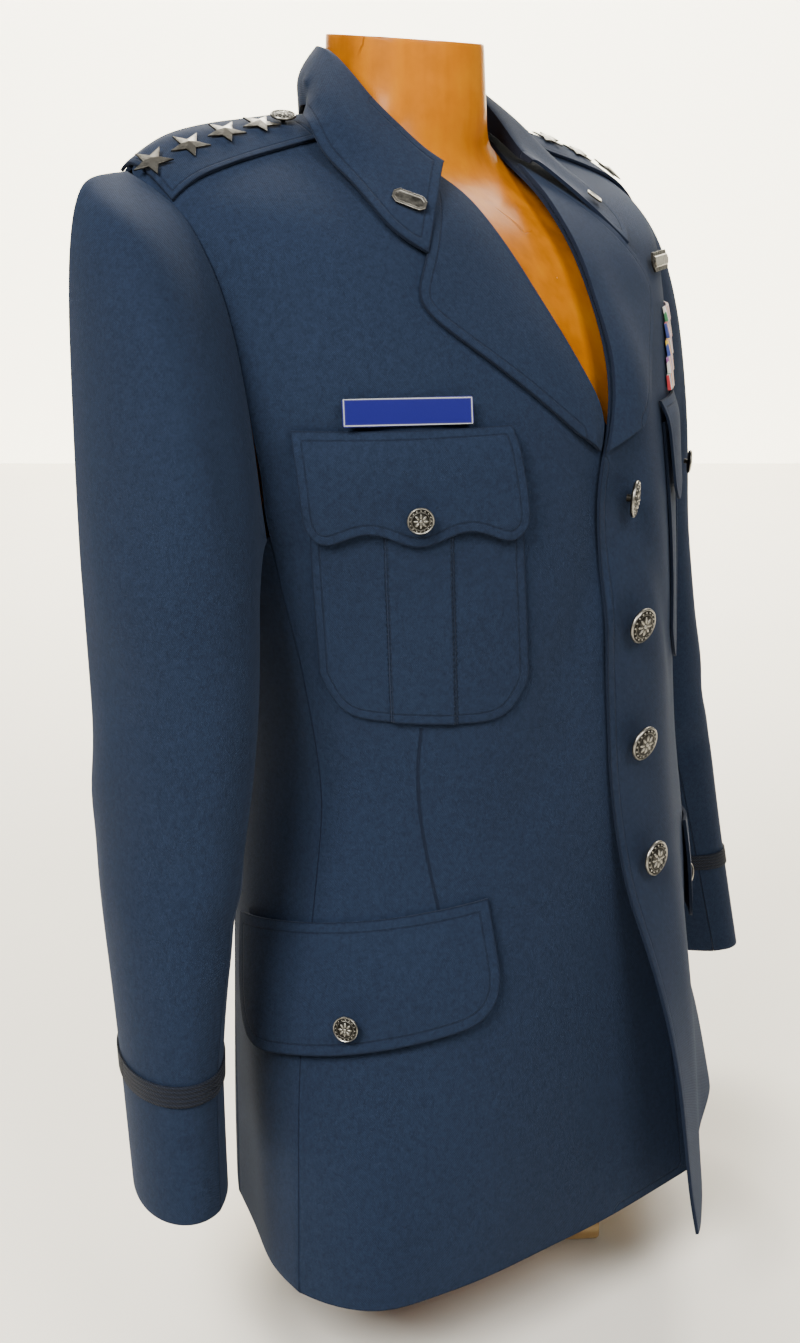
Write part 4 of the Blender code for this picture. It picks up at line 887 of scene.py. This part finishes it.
rack = copied_node("ribbon_rack", "ribbon_rack_bars")
add_modifier(rack, "BEVEL", width=0.0003, segments=2, limit_method="ANGLE", angle_limit=math.radians(50))
activate(rack)
bpy.ops.object.mode_set(mode="EDIT")
bpy.ops.mesh.select_all(action="SELECT")
bpy.ops.mesh.subdivide(number_cuts=3)
bpy.ops.object.mode_set(mode="OBJECT")
points = mesh_points(rack)
start = points[points[:, 0].argmin()]
run = (points - start)[:, :2]
write_attribute(rack, "along_mm", np.linalg.norm(run, axis=1) / MM)
write_attribute(rack, "up_mm", (points[:, 2] - points[:, 2].min()) / MM)
rack.data.materials.append(ribbon_weave())
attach(rack, "root")
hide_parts("ribbon_rack")

# Torso form: a hollow moulded shell under many coats of amber shellac, crazed with age, with small chips
# that show the pale ground.
AMBER_DEEP, AMBER_MIDDLE = (0.14, 0.034, 0.0001, 1.0), (0.44, 0.135, 0.0001, 1.0)
AMBER_LIGHT = (0.64, 0.26, 0.001, 1.0)
GROUND_PALE = (0.60, 0.48, 0.26, 1.0)


def shellac():
    made, place, shader = start_material("shellac", Coat_Roughness=0.22)
    shader.inputs["Specular IOR Level"].default_value = 0.08
    shader.inputs["Coat Weight"].default_value = 0.10
    cloudy = place.node("TexNoise", {}, {"Vector": place, "Scale": 11.0, "Detail": 5.0, "Roughness": 0.6})
    drawn_down = place.node("Mapping", {}, {"Vector": place, "Scale": (60.0, 60.0, 6.0)})
    brushed = place.node("TexNoise", {}, {"Vector": drawn_down, "Scale": 1.0, "Detail": 3.0})
    speck = place.node("TexNoise", {}, {"Vector": place, "Scale": 95.0, "Detail": 4.0})
    stray = place.node("TexNoise", {}, {"Vector": place, "Scale": 30.0, "Detail": 3.0}, take=1)
    shift = place.node("VectorMath", {"operation": "SCALE"}, {0: stray, "Scale": 0.02})
    bent = place.node("VectorMath", {"operation": "ADD"}, {0: place, 1: shift})
    crack_cells = place.node("TexVoronoi", {"feature": "DISTANCE_TO_EDGE"}, {"Vector": bent, "Scale": 7.0})
    patchy = place.node("TexNoise", {}, {"Vector": place, "Scale": 9.0}).rises(0.56, 0.62)
    crack = (1.0 - crack_cells.rises(0.001, 0.006)) * patchy
    chips = (speck + cloudy * 0.35).rises(0.925, 0.945)
    tone = cloudy * 0.8 + brushed * 0.35 - 0.12
    stops = [(0.15, AMBER_DEEP), (0.45, AMBER_MIDDLE), (0.85, AMBER_LIGHT)]
    colour = tone.node("ValToRGB", {"stops": stops}, {0: tone})
    colour = chips.node("Mix", {"data_type": "RGBA"}, {0: chips, 6: colour, 7: GROUND_PALE}, take=2)
    colour = crack.node("Mix", {"data_type": "RGBA"}, {0: crack * 0.55, 6: colour, 7: AMBER_DEEP}, take=2)
    rough = 0.24 + chips * 0.4 + speck * 0.16
    height = brushed * 0.25 + cloudy * 0.6 - chips * 0.25 - crack * 0.35 + speck * 0.12
    finish_material(shader, place, colour, roughness=rough, height=height)
    return made


form = copied_node("torso_form", "torso_form_shell")
add_modifier(form, "BEVEL", width=0.003, segments=2, limit_method="ANGLE", angle_limit=math.radians(58))
add_modifier(form, "SUBSURF", levels=2, render_levels=2)
activate(form)
bpy.ops.object.shade_smooth_by_angle(angle=math.radians(50))
form.data.materials.append(shellac())
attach(form, "root")
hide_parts("torso_form")

# Base: a low block of planed pine, its edges broken.
PINE_PALE, PINE_DARK = (0.72, 0.52, 0.24, 1.0), (0.50, 0.30, 0.11, 1.0)


def pine_grain():
    made, place, shader = start_material("pine_grain", Roughness=0.55)
    turned = place.node("Mapping", {}, {"Vector": place, "Rotation": (0.0, 0.03, math.radians(40)),
                                        "Scale": (1.0, 12.0, 12.0)})
    bent = place.node("TexNoise", {}, {"Vector": turned, "Scale": 5.0, "Detail": 3.0})
    rings = place.node("TexWave", {"bands_direction": "Z"},
                       {"Vector": turned, "Scale": 3.0, "Distortion": 3.0, "Detail": 2.0})
    drawn = place.node("Mapping", {}, {"Vector": turned, "Scale": (20.0, 60.0, 60.0)})
    fibre = place.node("TexNoise", {}, {"Vector": drawn, "Scale": 1.0, "Detail": 3.0})
    tone = rings * 0.55 + bent * 0.25 + fibre * 0.25
    finish_material(shader, place, tone.rises(0.1, 0.9).tint(PINE_PALE, PINE_DARK), height=tone * 0.15)
    return made


block = copied_node("base_block", "base_block_pine")
add_modifier(block, "BEVEL", width=0.0007, segments=2, limit_method="ANGLE", angle_limit=math.radians(30))
block.data.materials.append(pine_grain())
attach(block, "root")
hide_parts("base_block")

# Floor and wall: a pale plain surface and a bright plain wall well behind. They are the stage, no part of
# the object.
VIEW_TURN = -44.083
FLOOR_TONE, FLOOR_LIGHT = (0.80, 0.765, 0.69, 1.0), (0.85, 0.815, 0.74, 1.0)
WALL_TONE, WALL_GLOW = (1.0, 0.92, 0.66, 1.0), 3.6
bpy.ops.object.select_all(action="DESELECT")
bpy.ops.mesh.primitive_plane_add(size=30.0, location=(0, 0, 0))
floor = bpy.context.active_object
floor.name = "floor"
floor_finish, floor_place, floor_shader = start_material("floor_finish", Roughness=0.9)
floor_cloud = floor_place.node("TexNoise", {}, {"Vector": floor_place, "Scale": 3.0, "Detail": 3.0})
finish_material(floor_shader, floor_place, floor_cloud.tint(FLOOR_TONE, FLOOR_LIGHT))
floor.data.materials.append(floor_finish)
bpy.ops.mesh.primitive_plane_add(size=3.2, location=(2.25, 2.33, 1.4),
                                 rotation=(math.radians(90), 0.0, math.radians(VIEW_TURN)))
wall = bpy.context.active_object
wall.name = "wall"
wall_finish, _, wall_shader = start_material("wall_finish", Roughness=0.9, Emission_Strength=WALL_GLOW)
wall_shader.inputs["Emission Color"].default_value = WALL_TONE
wall.data.materials.append(wall_finish)

# Light: two soft windows high up, one at the left and one in front, a lamp over the floor behind, and a
# faint light from all round.
LIGHT_COLUMNS = ("name", "place", "aim", "size", "watts", "colour")
LIGHTS = (
    ("window", (-1.95, -0.45, 2.05), (0.0, -0.05, 0.55), 1.1, 108.0, (1.0, 0.985, 0.95)),
    ("room", (-0.35, -1.75, 2.05), (0.0, -0.05, 0.55), 1.1, 46.0, (1.0, 0.98, 0.95)),
    ("ceiling", (1.9, 1.9, 2.4), (1.8, 1.8, 0.0), 2.8, 420.0, (1.0, 0.95, 0.84)),
)
for row in LIGHTS:
    light = dict(zip(LIGHT_COLUMNS, row))
    lamp = bpy.data.lights.new(light["name"], "AREA")
    lamp.size, lamp.energy, lamp.color = light["size"], light["watts"], light["colour"]
    holder = bpy.data.objects.new(light["name"], lamp)
    bpy.context.scene.collection.objects.link(holder)
    holder.location = light["place"]
    way = Vector(light["aim"]) - Vector(light["place"])
    holder.rotation_euler = way.to_track_quat("-Z", "Y").to_euler()
room = bpy.data.worlds.new("room")
bpy.context.scene.world = room
room.use_nodes = True
room.node_tree.nodes["Background"].inputs["Color"].default_value = (0.95, 0.92, 0.86, 1.0)
room.node_tree.nodes["Background"].inputs["Strength"].default_value = 0.17

# Camera: at the photograph's height and angle, to the wearer's front right.
camera_data = bpy.data.cameras.new("camera")
camera = bpy.data.objects.new("camera", camera_data)
bpy.context.scene.collection.objects.link(camera)
camera.location = (-0.810, -0.806, 0.723)
camera.rotation_euler = (math.radians(73.647), 0.0, math.radians(VIEW_TURN))
camera_data.sensor_width = 36.0
camera_data.lens = 45.57
bpy.context.scene.camera = camera
